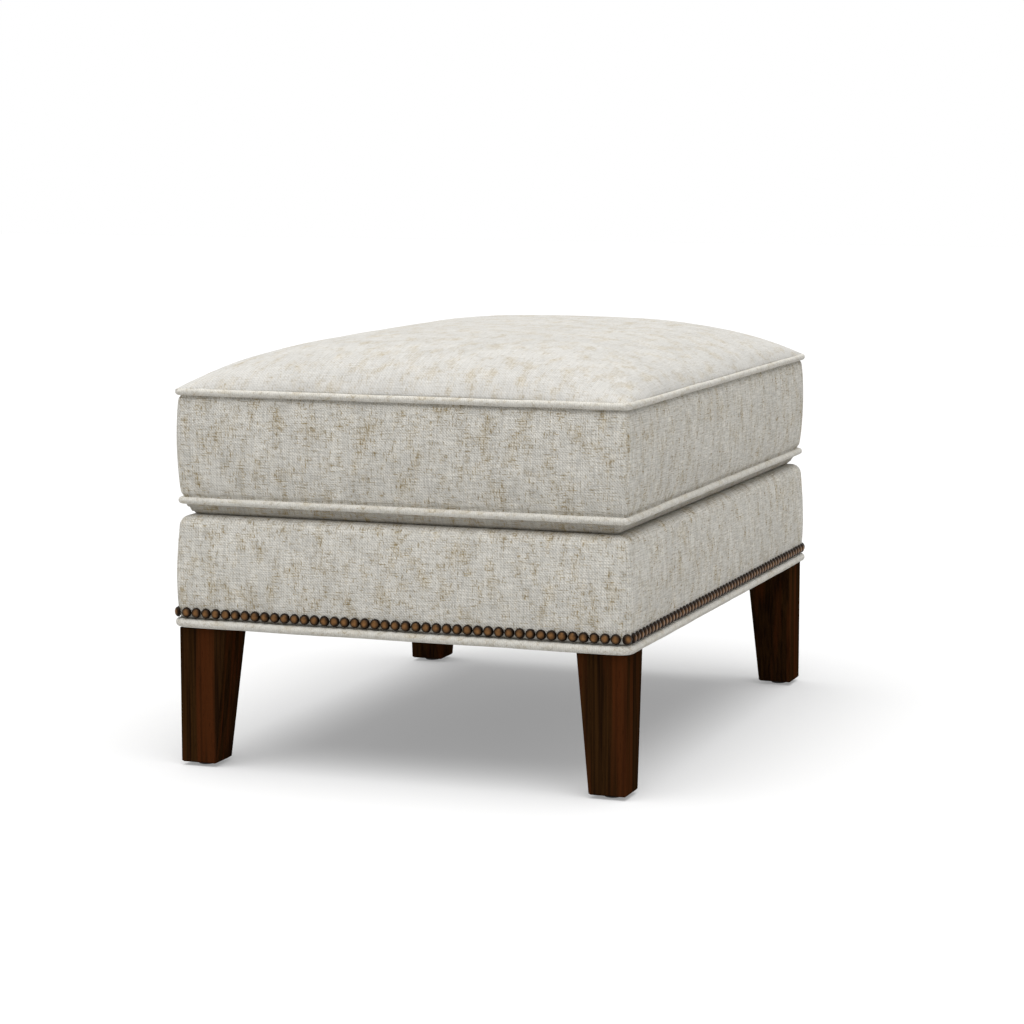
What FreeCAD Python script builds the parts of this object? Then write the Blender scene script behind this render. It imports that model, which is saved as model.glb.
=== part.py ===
import FreeCAD, Part
import math
import operator
import os

import Sketcher

# Upholstered footstool: a loose box cushion on an upholstered frame with four tapered legs.
# Millimetres. Origin on the floor under the middle, X across the short side, Y along the long
# side, Z up. Front is -Y, right is +X.

# Driving sizes, one cell each in the sheet
SIZES = {
    # flat faces of the cover, seen from above
    "cover_width": 508.0,
    "cover_length": 708.0,
    # legs and what holds them
    "glide_height": 4.0,
    "glide_diameter": 19.0,
    "glide_edge": 1.0,
    "glide_pin_diameter": 2.5,
    "glide_pin_length": 14.0,
    "leg_height": 148.0,
    "leg_top_side": 54.5,
    "leg_bottom_side": 41.0,
    "leg_arris": 1.2,
    "leg_foot_chamfer": 1.5,
    "bolt_diameter": 8.0,
    "bolt_in_leg": 40.0,
    "bolt_in_post": 36.0,
    "bolt_point": 1.0,
    "insert_diameter": 12.0,
    "insert_length": 20.0,
    "bore_clearance": 0.1,
    "bore_end_room": 2.0,
    # wooden frame
    "frame_inset": 10.0,
    "rail_height": 95.0,
    "rail_thickness": 22.0,
    "post_side": 44.0,
    "cross_rail_height": 60.0,
    "cross_rail_thickness": 20.0,
    "dowel_diameter": 10.0,
    "dowel_length": 40.0,
    "dowel_edge_distance": 24.0,
    "cross_dowel_length": 30.0,
    "cross_dowel_edge_distance": 15.0,
    # springs and deck
    "spring_count": 5,
    "spring_spacing": 116.0,
    "spring_wire": 3.8,
    "spring_runs": 25,
    "spring_half_run": 16.0,
    "clip_thickness": 1.2,
    "clip_length": 24.0,
    "clip_foot": 9.0,
    "clip_lip": 3.0,
    "insulator_thickness": 2.0,
    "insulator_inset": 18.0,
    "deck_height": 275.0,
    "deck_cloth_thickness": 0.8,
    "deck_seam_lap": 10.0,
    # base cover
    "cover_thickness": 1.5,
    "cover_lip": 80.0,
    "edge_radius": 13.0,
    "edge_reach": 0.6,
    "base_bulge": 4.0,
    "base_low_reach": 2.4,
    "nip_height": 3.0,
    "cover_under_turn": 20.0,
    "edge_pad_cap": 4.0,
    "dust_cover_thickness": 0.6,
    "dust_cover_inset": 12.0,
    # welts
    "welt_corner_radius": 5.0,
    "base_welt_reach": 2.4,
    "base_welt_diameter": 9.0,
    "base_welt_height": 158.2,
    "cushion_welt_diameter": 8.0,
    "lower_welt_reach": -0.9,
    "lower_welt_rise": 16.3,
    "upper_welt_reach": 1.2,
    "upper_welt_rise": 116.7,
    # nails
    "nail_diameter": 11.1,
    "nail_dome": 4.2,
    "nail_rim": 0.6,
    "nail_height": 168.9,
    "nail_spacing_short": 11.7,
    "nail_spacing_long": 12.1,
    # cushion
    "panel_thickness": 1.5,
    "boxing_bulge": 3.0,
    "boxing_lower_reach": -2.2,
    "boxing_upper_reach": 0.0,
    "underside_radius": 11.0,
    "underside_corner_radius": 14.0,
    "panel_rim_depth": 4.1,
    "crown_spring": 1.5,
    "crown_rise": 56.0,
    "crown_overhang": 2.0,
    "crown_power_across": 2.55,
    "crown_power_along": 4.68,
    "crown_fullness": 0.53,
    "foam_margin": 0.6,
    "foam_drop": 6.0,
    "foam_rise": 22.0,
    # zip in the back of the cushion
    "zip_slot": 9.0,
    "zip_chain_width": 6.0,
    "zip_chain_thickness": 2.2,
    "zip_tape_width": 14.0,
    "zip_tape_thickness": 0.7,
    "zip_tape_depth": 2.4,
    "zip_end_margin": 14.0,
    "zip_tape_margin": 8.0,
    "zip_stop_length": 3.0,
    "slider_length": 12.0,
    "slider_plate": 1.2,
    "slider_flange": 0.9,
    "slider_clearance": 0.3,
    "slider_margin": 10.0,
    "lug_thickness": 1.2,
    "lug_length": 4.0,
    "lug_gap": 2.8,
    "pivot_diameter": 1.4,
    "pivot_height": 1.6,
    "pull_length": 24.0,
    "pull_width": 7.0,
    "pull_thickness": 1.2,
    "pull_side_clearance": 0.2,
    # gaps between pieces, and how far a cut reaches past what it cuts
    "soft_gap": 0.3,
    "seat_gap": 0.2,
    "cut_margin": 20.0,
}

# Places across the crown, as shares of its half width, and sections along it
CROWN_SHARES = (1, 0.975, 0.93, 0.8, 0.62, 0)
CROWN_SECTIONS = 13

document = FreeCAD.newDocument("Footstool")
sheet = document.addObject("Spreadsheet::Sheet", "Sizes")
for row, (alias, number) in enumerate(SIZES.items(), start=1):
    sheet.set("A%d" % row, alias)
    sheet.set("B%d" % row, str(number))
    sheet.setAlias("B%d" % row, alias)
document.recompute()

OPERATIONS = {
    "+": operator.add,
    "-": operator.sub,
    "*": operator.mul,
    "/": operator.truediv,
    "^": operator.pow,
}


class Size:
    """A size as a number and as the expression that ties a feature to the sheet."""

    def __init__(self, value, text):
        self.value = value
        self.text = text

    def __add__(self, other):
        return combine(self, "+", other)

    def __sub__(self, other):
        return combine(self, "-", other)

    def __mul__(self, other):
        return combine(self, "*", other)

    def __truediv__(self, other):
        return combine(self, "/", other)

    def __pow__(self, other):
        return combine(self, "^", other)

    def __neg__(self):
        return combine(0, "-", self)


def as_size(number):
    """A plain number as a Size."""
    return number if isinstance(number, Size) else Size(float(number), str(number))


def combine(first, sign, second):
    """The Size that first sign second gives."""
    first = as_size(first)
    second = as_size(second)
    value = OPERATIONS[sign](first.value, second.value)
    return Size(value, "(%s %s %s)" % (first.text, sign, second.text))


def cell(alias):
    """The Size held by one cell of the sheet."""
    return Size(float(sheet.get(alias)), "Sizes." + alias)


class Via:
    """A point that an arc passes through, between two corners of an outline."""

    def __init__(self, across, up):
        self.across = across
        self.up = up


# Helpers for bodies, sketches and features


pieces = []


def new_piece(kind, label):
    """A document object whose label is its node's name, kept for the export."""
    piece = document.addObject(kind, label)
    piece.Label = label
    pieces.append(piece)
    return piece


def new_body(label):
    """A PartDesign body that is a piece of the footstool."""
    return new_piece("PartDesign::Body", label)


def put(body, across=0, along=0, up=0, turn=0):
    """Place a body, tied to the sheet, turned about Z by a number of degrees."""
    base = [as_size(across), as_size(along), as_size(up)]
    body.Placement = FreeCAD.Placement(
        FreeCAD.Vector(*[size.value for size in base]),
        FreeCAD.Rotation(FreeCAD.Vector(0, 0, 1), turn),
    )
    for axis, size in zip("xyz", base):
        body.setExpression("Placement.Base." + axis, size.text)


def new_sketch(body, name, role, offset=0):
    """A sketch on one of the body's origin planes, moved along the plane's normal."""
    sketch = body.newObject("Sketcher::SketchObject", name)
    plane = [face for face in body.Origin.OriginFeatures if face.Role == role][0]
    sketch.AttachmentSupport = [(plane, "")]
    sketch.MapMode = "FlatFace"
    offset = as_size(offset)
    sketch.AttachmentOffset = FreeCAD.Placement(
        FreeCAD.Vector(0, 0, offset.value), FreeCAD.Rotation()
    )
    sketch.setExpression("AttachmentOffset.Base.z", offset.text)
    return sketch


def tie(sketch, ties):
    """Fix points of a sketch by their distances from its origin, tied to the sheet."""
    constraints = []
    texts = []
    for element, point, across, up in ties:
        for kind, size in (("DistanceX", as_size(across)), ("DistanceY", as_size(up))):
            constraints.append(Sketcher.Constraint(kind, -1, 1, element, point, size.value))
            texts.append(size.text)
    first = sketch.ConstraintCount
    sketch.addConstraint(constraints)
    for index, text in enumerate(texts):
        sketch.setExpression("Constraints[%d]" % (first + index), text)


def flat(across, up):
    """A sketch point from two sizes."""
    return FreeCAD.Vector(as_size(across).value, as_size(up).value, 0)


def outline(sketch, points, closed=True):
    """Draw lines, and arcs wherever a Via lies between two corners, through the points."""
    corners = [point for point in points if not isinstance(point, Via)]
    middles = {}
    seen = 0
    for point in points:
        if isinstance(point, Via):
            middles[seen - 1] = point
        else:
            seen += 1
    count = len(corners) if closed else len(corners) - 1
    shapes = []
    for index in range(count):
        start = flat(*corners[index])
        end = flat(*corners[(index + 1) % len(corners)])
        if index in middles:
            middle = flat(middles[index].across, middles[index].up)
            shapes.append(Part.Arc(start, middle, end))
        else:
            shapes.append(Part.LineSegment(start, end))
    first = sketch.GeometryCount
    sketch.addGeometry(shapes)
    names = []
    for index in range(count):
        element = first + index
        start = flat(*corners[index])
        forward = (sketch.getPoint(element, 1) - start).Length < 1e-6
        names.append((1, 2) if forward else (2, 1))
    joins = []
    for index in range(count if closed else count - 1):
        after = (index + 1) % count
        ends = (first + index, names[index][1], first + after, names[after][0])
        joins.append(Sketcher.Constraint("Coincident", *ends))
    if joins:
        sketch.addConstraint(joins)
    ties = []
    for index in range(count):
        ties.append((first + index, names[index][0], *corners[index]))
    if not closed:
        ties.append((first + count - 1, names[-1][1], *corners[-1]))
    for index, via in middles.items():
        point = sketch.addGeometry(Part.Point(flat(via.across, via.up)), True)
        sketch.addConstraint(Sketcher.Constraint("PointOnObject", point, 1, first + index))
        ties.append((point, 1, via.across, via.up))
    tie(sketch, ties)
    return sketch


def rectangle(sketch, low_across, low_up, high_across, high_up):
    """A closed rectangle between two corners."""
    corners = [
        (low_across, low_up),
        (high_across, low_up),
        (high_across, high_up),
        (low_across, high_up),
    ]
    return outline(sketch, corners)


def rounded_rectangle(sketch, low_across, low_up, high_across, high_up, radius):
    """A closed rectangle whose corners are quarter arcs."""
    cut = radius * (1 - math.sqrt(0.5))
    return outline(sketch, [
        (low_across + radius, low_up),
        (high_across - radius, low_up),
        Via(high_across - cut, low_up + cut),
        (high_across, low_up + radius),
        (high_across, high_up - radius),
        Via(high_across - cut, high_up - cut),
        (high_across - radius, high_up),
        (low_across + radius, high_up),
        Via(low_across + cut, high_up - cut),
        (low_across, high_up - radius),
        (low_across, low_up + radius),
        Via(low_across + cut, low_up + cut),
    ])


def circles(sketch, centres, radius):
    """Circles of one radius, each centre tied to the sheet."""
    radius = as_size(radius)
    ties = []
    for centre in centres:
        circle = Part.Circle(flat(*centre), FreeCAD.Vector(0, 0, 1), radius.value)
        element = sketch.addGeometry(circle)
        index = sketch.addConstraint(Sketcher.Constraint("Radius", element, radius.value))
        sketch.setExpression("Constraints[%d]" % index, radius.text)
        ties.append((element, 3, *centre))
    tie(sketch, ties)
    return sketch


def pad(body, sketch, length, midplane=False, reverse=False):
    """Add the sketch's outline over a length."""
    length = as_size(length)
    feature = body.newObject("PartDesign::Pad", "Pad")
    feature.Profile = sketch
    feature.Length = length.value
    feature.setExpression("Length", length.text)
    feature.Midplane = midplane
    feature.Reversed = reverse
    return feature


def pocket(body, sketch, length=None, reverse=False):
    """Cut the sketch's outline over a length, or right through both ways, and prove the cut."""
    document.recompute()
    before = body.Shape.Volume
    feature = body.newObject("PartDesign::Pocket", "Pocket")
    feature.Profile = sketch
    if length is None:
        feature.Type = "ThroughAll"
        feature.Midplane = True
    else:
        length = as_size(length)
        feature.Length = length.value
        feature.setExpression("Length", length.text)
        feature.Reversed = reverse
    document.recompute()
    if not 0 < body.Shape.Volume < before - 1e-3:
        raise ValueError("a pocket of %s failed" % body.Label)
    return feature


def block(label, low, high):
    """A body that fills the box between two corners, before it is placed."""
    body = new_body(label)
    sketch = new_sketch(body, "Plan", "XY_Plane", low[2])
    rectangle(sketch, low[0], low[1], high[0], high[1])
    pad(body, sketch, as_size(high[2]) - low[2])
    return body


def fillet(body, feature, keep, radius):
    """Round the feature's edges that keep chooses."""
    document.recompute()
    shape = feature.Shape
    names = ["Edge%d" % (index + 1) for index, edge in enumerate(shape.Edges) if keep(edge)]
    rounding = body.newObject("PartDesign::Fillet", "Fillet")
    rounding.Base = (feature, names)
    rounding.Radius = radius.value
    rounding.setExpression("Radius", radius.text)
    return rounding


def chamfer(body, feature, keep, amount):
    """Bevel the feature's edges that keep chooses."""
    document.recompute()
    shape = feature.Shape
    names = ["Edge%d" % (index + 1) for index, edge in enumerate(shape.Edges) if keep(edge)]
    bevel = body.newObject("PartDesign::Chamfer", "Chamfer")
    bevel.Base = (feature, names)
    bevel.Size = amount.value
    bevel.setExpression("Size", amount.text)
    return bevel


def is_upright(edge):
    """True for an edge that climbs."""
    ends = [vertex.Point.z for vertex in edge.Vertexes]
    return len(ends) == 2 and abs(ends[0] - ends[1]) > 1


def is_level_at(height):
    """A test for edges that lie level at one height."""
    return lambda edge: all(abs(vertex.Point.z - height) < 1e-4 for vertex in edge.Vertexes)


# Levels and distances shared by several pieces

cover_width = cell("cover_width")
cover_length = cell("cover_length")
half_width = cover_width / 2
half_length = cover_length / 2
soft_gap = cell("soft_gap")
seat_gap = cell("seat_gap")

leg_bottom = cell("glide_height")
leg_top = leg_bottom + cell("leg_height")
cover_bottom = leg_top + cell("dust_cover_thickness")
cover_thickness = cell("cover_thickness")
frame_bottom = cover_bottom + cover_thickness
rail_top = frame_bottom + cell("rail_height")
deck_height = cell("deck_height")
lip_underside = deck_height - cover_thickness
frame_inset = cell("frame_inset")
post_side = cell("post_side")
leg_centre = cell("leg_top_side") / 2

# Each side's name, turn about Z, distance of its face from the middle, and length
SIDES = [
    ("right", 0, half_width, cover_length),
    ("back", 90, half_length, cover_width),
    ("left", 180, half_width, cover_length),
    ("front", 270, half_length, cover_width),
]

# Each corner's name, turn about Z, and the signs of its X and Y
CORNERS = [
    ("back_right", 0, 1, 1),
    ("back_left", 90, -1, 1),
    ("front_left", 180, -1, -1),
    ("front_right", 270, 1, -1),
]


def put_on_side(body, turn, distance):
    """Place a body drawn about one side's face, with +X outwards."""
    across = distance * round(math.cos(math.radians(turn)))
    along = distance * round(math.sin(math.radians(turn)))
    put(body, across, along, 0, turn)


def put_at_corner(body, turn, sign_across, sign_along):
    """Place a body drawn inwards from one corner, towards -X and -Y."""
    put(body, half_width * sign_across, half_length * sign_along, 0, turn)


def at_corners(inset):
    """The four points that lie the same distance in from both faces at each corner."""
    across = half_width - inset
    along = half_length - inset
    return [(across, along), (-across, along), (-across, -along), (across, -along)]


# Legs and their hardware


def make_leg(name, turn, sign_across, sign_along):
    """A square leg whose two outer faces are upright and two inner faces taper."""
    body = new_body("leg_" + name)
    top = cell("leg_top_side")
    foot = cell("leg_bottom_side")
    bevel = cell("leg_foot_chamfer")
    arris = cell("leg_arris")
    levels = [
        (leg_bottom, bevel, foot - bevel),
        (leg_bottom + bevel, as_size(0), foot),
        (leg_top, as_size(0), top),
    ]
    sections = []
    for level, near, far in levels:
        sketch = new_sketch(body, "Section", "XY_Plane", level)
        sections.append(rounded_rectangle(sketch, -far, -far, -near, -near, arris))
    taper = body.newObject("PartDesign::AdditiveLoft", "Taper")
    taper.Profile = sections[0]
    taper.Sections = sections[1:]
    taper.Ruled = True
    bore = new_sketch(body, "BoltBore", "XY_Plane", leg_top)
    circles(bore, [(-leg_centre, -leg_centre)], bolt_bore_radius)
    pocket(body, bore, cell("bolt_in_leg") + cell("bore_end_room"))
    pin_bore = new_sketch(body, "PinBore", "XY_Plane", leg_bottom)
    pin_radius = cell("glide_pin_diameter") / 2 + cell("bore_clearance")
    circles(pin_bore, [(-foot / 2, -foot / 2)], pin_radius)
    pocket(body, pin_bore, cell("glide_pin_length") + cell("bore_end_room"), reverse=True)
    put_at_corner(body, turn, sign_across, sign_along)


def make_glides():
    """A glide under each leg, with the pin that holds it."""
    body = new_body("glides")
    centres = at_corners(cell("leg_bottom_side") / 2)
    disc = circles(new_sketch(body, "Disc", "XY_Plane"), centres, cell("glide_diameter") / 2)
    discs = pad(body, disc, leg_bottom)
    chamfer(body, discs, is_level_at(0), cell("glide_edge"))
    pins = new_sketch(body, "Pins", "XY_Plane", leg_bottom / 2)
    circles(pins, centres, cell("glide_pin_diameter") / 2)
    pad(body, pins, leg_bottom / 2 + cell("glide_pin_length"))


def make_hanger_bolts():
    """The bolt out of each leg's top, up into its post."""
    body = new_body("hanger_bolts")
    low = leg_top - cell("bolt_in_leg")
    sketch = new_sketch(body, "Shanks", "XY_Plane", low)
    circles(sketch, at_corners(leg_centre), bolt_radius)
    shanks = pad(body, sketch, cell("bolt_in_leg") + cell("bolt_in_post"))
    top = low + cell("bolt_in_leg") + cell("bolt_in_post")
    ends = (low.value, top.value)
    chamfer(body, shanks, lambda edge: any(is_level_at(end)(edge) for end in ends),
            cell("bolt_point"))


def make_threaded_inserts():
    """The steel sleeve in each post's foot that the hanger bolt screws into."""
    body = new_body("threaded_inserts")
    centres = at_corners(leg_centre)
    sketch = new_sketch(body, "Sleeves", "XY_Plane", frame_bottom)
    circles(sketch, centres, cell("insert_diameter") / 2)
    circles(sketch, centres, bolt_bore_radius)
    pad(body, sketch, cell("insert_length"))


# Frame


def make_post(name, turn, sign_across, sign_along):
    """A corner post, bored for the insert and bolt and for the rails' dowels."""
    body = new_body("post_" + name)
    outer = -frame_inset
    inner = outer - post_side
    sketch = rectangle(new_sketch(body, "Plan", "XY_Plane", frame_bottom),
                       inner, inner, outer, outer)
    pad(body, sketch, cell("rail_height"))
    insert_bore = new_sketch(body, "InsertBore", "XY_Plane", frame_bottom)
    insert_radius = cell("insert_diameter") / 2 + cell("bore_clearance")
    circles(insert_bore, [(-leg_centre, -leg_centre)], insert_radius)
    pocket(body, insert_bore, cell("insert_length"), reverse=True)
    bolt_bore = new_sketch(body, "BoltBore", "XY_Plane", frame_bottom)
    circles(bolt_bore, [(-leg_centre, -leg_centre)], bolt_bore_radius)
    pocket(body, bolt_bore, cell("bolt_in_post") + cell("bore_end_room"), reverse=True)
    depth = dowel_bore_depth
    toward_side = new_sketch(body, "DowelsAlong", "XZ_Plane", -inner)
    circles(toward_side, [(rail_middle, level) for level in dowel_levels], dowel_bore_radius)
    pocket(body, toward_side, depth)
    toward_end = new_sketch(body, "DowelsAcross", "YZ_Plane", inner)
    circles(toward_end, [(rail_middle, level) for level in dowel_levels], dowel_bore_radius)
    pocket(body, toward_end, depth, reverse=True)
    put_at_corner(body, turn, sign_across, sign_along)


def make_rail(name, turn, distance, length):
    """A frame rail between two posts, bored at both ends for dowels."""
    half_rail = length / 2 - frame_inset - post_side
    body = block(
        "rail_" + name,
        (-frame_inset - cell("rail_thickness"), -half_rail, frame_bottom),
        (-frame_inset, half_rail, rail_top),
    )
    for end, reverse in ((half_rail, False), (-half_rail, True)):
        sketch = new_sketch(body, "Dowels", "XZ_Plane", end)
        circles(sketch, [(rail_middle, level) for level in dowel_levels], dowel_bore_radius)
        pocket(body, sketch, dowel_bore_depth, reverse=reverse)
    if name in ("left", "right"):
        sketch = new_sketch(body, "CrossDowels", "YZ_Plane", -frame_inset - cell("rail_thickness"))
        circles(sketch, [(0, level) for level in cross_dowel_levels], dowel_bore_radius)
        pocket(body, sketch, cross_dowel_bore_depth, reverse=True)
    put_on_side(body, turn, distance)


def make_cross_rail():
    """The brace across the middle of the frame, under the springs."""
    half_span = half_width - frame_inset - cell("rail_thickness")
    half_thickness = cell("cross_rail_thickness") / 2
    body = block(
        "cross_rail",
        (-half_span, -half_thickness, frame_bottom),
        (half_span, half_thickness, frame_bottom + cell("cross_rail_height")),
    )
    for end, reverse in ((half_span, False), (-half_span, True)):
        sketch = new_sketch(body, "Dowels", "YZ_Plane", end)
        circles(sketch, [(0, level) for level in cross_dowel_levels], dowel_bore_radius)
        pocket(body, sketch, cross_dowel_bore_depth, reverse=reverse)


def make_dowels():
    """All dowels: rails to posts, and cross rail to side rails."""
    body = new_body("rail_dowels")
    radius = cell("dowel_diameter") / 2
    across = half_width + rail_middle
    along = half_length + rail_middle
    post_across = half_width - frame_inset - post_side
    post_along = half_length - frame_inset - post_side
    cross_end = half_width - frame_inset - cell("rail_thickness")
    for sign in (1, -1):
        sketch = new_sketch(body, "Along", "XZ_Plane", post_along * sign)
        centres = [(across * side, level) for side in (1, -1) for level in dowel_levels]
        pad(body, circles(sketch, centres, radius), cell("dowel_length"), midplane=True)
        sketch = new_sketch(body, "Across", "YZ_Plane", post_across * sign)
        centres = [(along * side, level) for side in (1, -1) for level in dowel_levels]
        pad(body, circles(sketch, centres, radius), cell("dowel_length"), midplane=True)
        sketch = new_sketch(body, "Cross", "YZ_Plane", cross_end * sign)
        centres = [(0, level) for level in cross_dowel_levels]
        pad(body, circles(sketch, centres, radius), cell("cross_dowel_length"), midplane=True)


# Springs and deck


def make_springs():
    """Zigzag wire springs across the frame, level under the deck."""
    body = new_body("seat_springs")
    path = new_sketch(body, "Path", "XY_Plane", spring_level)
    runs = int(cell("spring_runs").value)
    pitch = spring_half_span * 2 / (runs - 1)
    run = cell("spring_half_run")
    bend = pitch / 2
    points = [(-spring_half_span, -run)]
    for index in range(runs):
        sign = 1 if index % 2 == 0 else -1
        across = pitch * index - spring_half_span
        points.append((across, run * sign))
        if index < runs - 1:
            points.append(Via(across + bend, (run + bend) * sign))
            points.append((across + pitch, run * sign))
    outline(path, points, closed=False)
    wire = new_sketch(body, "Wire", "XZ_Plane", run)
    circles(wire, [(-spring_half_span, spring_level)], spring_radius)
    pipe = body.newObject("PartDesign::AdditivePipe", "Zigzag")
    pipe.Profile = wire
    pipe.Spine = (path, [])
    repeat_along(body, pipe, path)


def repeat_along(body, feature, sketch):
    """Repeat a feature at each spring, then centre the row on the frame."""
    pattern = body.newObject("PartDesign::LinearPattern", "Row")
    pattern.Originals = [feature]
    pattern.Direction = (sketch, ["V_Axis"])
    length = cell("spring_spacing") * (cell("spring_count") - 1)
    pattern.Length = length.value
    pattern.setExpression("Length", length.text)
    pattern.Occurrences = int(cell("spring_count").value)
    pattern.setExpression("Occurrences", cell("spring_count").text)
    body.Tip = pattern
    put(body, 0, -length / 2)
    return pattern


def make_clips():
    """A steel clip on the rail round each end of each spring."""
    body = new_body("spring_clips")
    thickness = cell("clip_thickness")
    outside = -spring_half_span - spring_radius - cell("bore_clearance")
    top = rail_top + thickness * 2 + cell("spring_wire") + cell("bore_clearance") * 2
    shapes = []
    for sign in (1, -1):
        section = [
            ((cell("clip_foot") - spring_half_span) * sign, rail_top),
            ((outside - thickness) * sign, rail_top),
            ((outside - thickness) * sign, top),
            ((cell("clip_lip") - spring_half_span) * sign, top),
            ((cell("clip_lip") - spring_half_span) * sign, top - thickness),
            (outside * sign, top - thickness),
            (outside * sign, rail_top + thickness),
            ((cell("clip_foot") - spring_half_span) * sign, rail_top + thickness),
        ]
        sketch = outline(new_sketch(body, "Clip", "XZ_Plane"), section)
        shapes.append(pad(body, sketch, cell("clip_length"), midplane=True))
    row = new_sketch(body, "Direction", "XY_Plane")
    pattern = repeat_along(body, shapes[0], row)
    pattern.Originals = shapes
    return top


def make_insulator(bottom):
    """The felted sheet that lies over the springs."""
    inset = cell("insulator_inset")
    block("spring_insulator", (inset - half_width, inset - half_length, bottom),
          (half_width - inset, half_length - inset, bottom + cell("insulator_thickness")))


def make_deck_pad(bottom):
    """The deck's foam pad, inside the padding of the four sides."""
    inset = pad_inner_reach + soft_gap
    block("deck_pad", (inset - half_width, inset - half_length, bottom),
          (half_width - inset, half_length - inset, lip_underside - cell("deck_cloth_thickness")))


def make_deck_cloth():
    """Plain cloth in the middle of the deck, lapped under the cover's lips."""
    inset = cell("cover_lip") - cell("deck_seam_lap")
    block("deck_cloth",
          (inset - half_width, inset - half_length, lip_underside - cell("deck_cloth_thickness")),
          (half_width - inset, half_length - inset, lip_underside))


# Base upholstery


def mitre(body, length, depth, reach):
    """Cut both ends of a side's piece at 45 degrees, through the corners of the plan."""
    sketch = new_sketch(body, "Mitre", "XY_Plane")
    half = length / 2
    for sign in (1, -1):
        outline(sketch, [
            (-depth, (half - depth) * sign),
            (reach, (half + reach) * sign),
            (-depth, (half + reach) * sign),
        ])
    pocket(body, sketch)


def side_piece(label, section, length, depth):
    """A piece with one section along a whole side, mitred at both ends."""
    reach = cell("base_bulge") * 2
    body = new_body(label)
    sketch = outline(new_sketch(body, "Section", "XZ_Plane"), section)
    pad(body, sketch, length + reach * 2, midplane=True)
    mitre(body, length, depth, reach)
    return body


def side_line(inset):
    """The base's side from its rounded top edge down to the nip, drawn in by an inset."""
    radius = cell("edge_radius")
    slant = inset * math.sqrt(0.5)
    corner = radius * (1 - math.sqrt(0.5))
    nip_top = cell("base_welt_height") + base_welt_radius + soft_gap
    middle = (deck_height - radius + nip_top + cell("nip_height")) / 2
    return [
        (-radius, deck_height - inset),
        Via(-corner - slant + cell("edge_reach") / 2, deck_height - corner - slant),
        (cell("edge_reach") - inset, deck_height - radius),
        Via(cell("base_bulge") - inset, middle),
        (cell("base_low_reach") - inset, nip_top + cell("nip_height")),
        (nip_reach - inset, nip_top),
    ]


def make_cover(name, turn, distance, length):
    """One sewn panel of the base cover: lip on the deck, rounded edge, side and under-turn."""
    lip = cell("cover_lip")
    under = -cell("cover_under_turn")
    outside = side_line(as_size(0))
    inside = side_line(cover_thickness)
    section = [(-lip, deck_height)] + outside
    section += [(nip_reach, cover_bottom), (under, cover_bottom), (under, frame_bottom)]
    section += [(nip_reach - cover_thickness, frame_bottom)] + inside[::-1]
    section += [(-lip, lip_underside)]
    body = side_piece("cover_" + name, section, length, lip + cell("cut_margin"))
    put_on_side(body, turn, distance)


def make_side_pad(name, turn, distance, length):
    """Foam padding between one rail and its cover panel, capped over the rail's edge."""
    inset = cover_thickness + seat_gap
    line = side_line(inset)
    cap = -pad_inner_reach
    section = [(cap, deck_height - inset)] + line + [
        (nip_reach - inset, frame_bottom),
        (-frame_inset, frame_bottom),
        (-frame_inset, rail_top),
        (cap, rail_top),
    ]
    body = side_piece("pad_" + name, section, length, pad_inner_reach + cell("cut_margin"))
    put_on_side(body, turn, distance)


def make_dust_cover():
    """Cloth under the frame, with a hole for each hanger bolt."""
    inset = cell("dust_cover_inset")
    body = block("dust_cover", (inset - half_width, inset - half_length, leg_top),
                 (half_width - inset, half_length - inset, cover_bottom))
    holes = new_sketch(body, "BoltHoles", "XY_Plane")
    circles(holes, at_corners(leg_centre), bolt_radius + cell("bore_clearance"))
    pocket(body, holes)


def make_welt(label, reach, height, diameter):
    """A covered cord that runs once round the plan."""
    body = new_body(label)
    across = half_width + reach
    along = half_length + reach
    radius = cell("welt_corner_radius")
    cut = radius * (1 - math.sqrt(0.5))
    path = new_sketch(body, "Path", "XY_Plane", height)
    points = [(across, 0)]
    for sign_across, sign_along in ((1, 1), (-1, 1), (-1, -1), (1, -1)):
        along_end = (across * sign_across, (along - radius) * sign_along)
        across_end = ((across - radius) * sign_across, along * sign_along)
        ends = [along_end, across_end]
        if sign_across != sign_along:
            ends.reverse()
        via = Via((across - cut) * sign_across, (along - cut) * sign_along)
        points += [ends[0], via, ends[1]]
    outline(path, points)
    wire = new_sketch(body, "Cord", "XZ_Plane")
    circles(wire, [(across, height)], diameter / 2)
    pipe = body.newObject("PartDesign::AdditivePipe", "Welt")
    pipe.Profile = wire
    pipe.Spine = (path, [])


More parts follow.
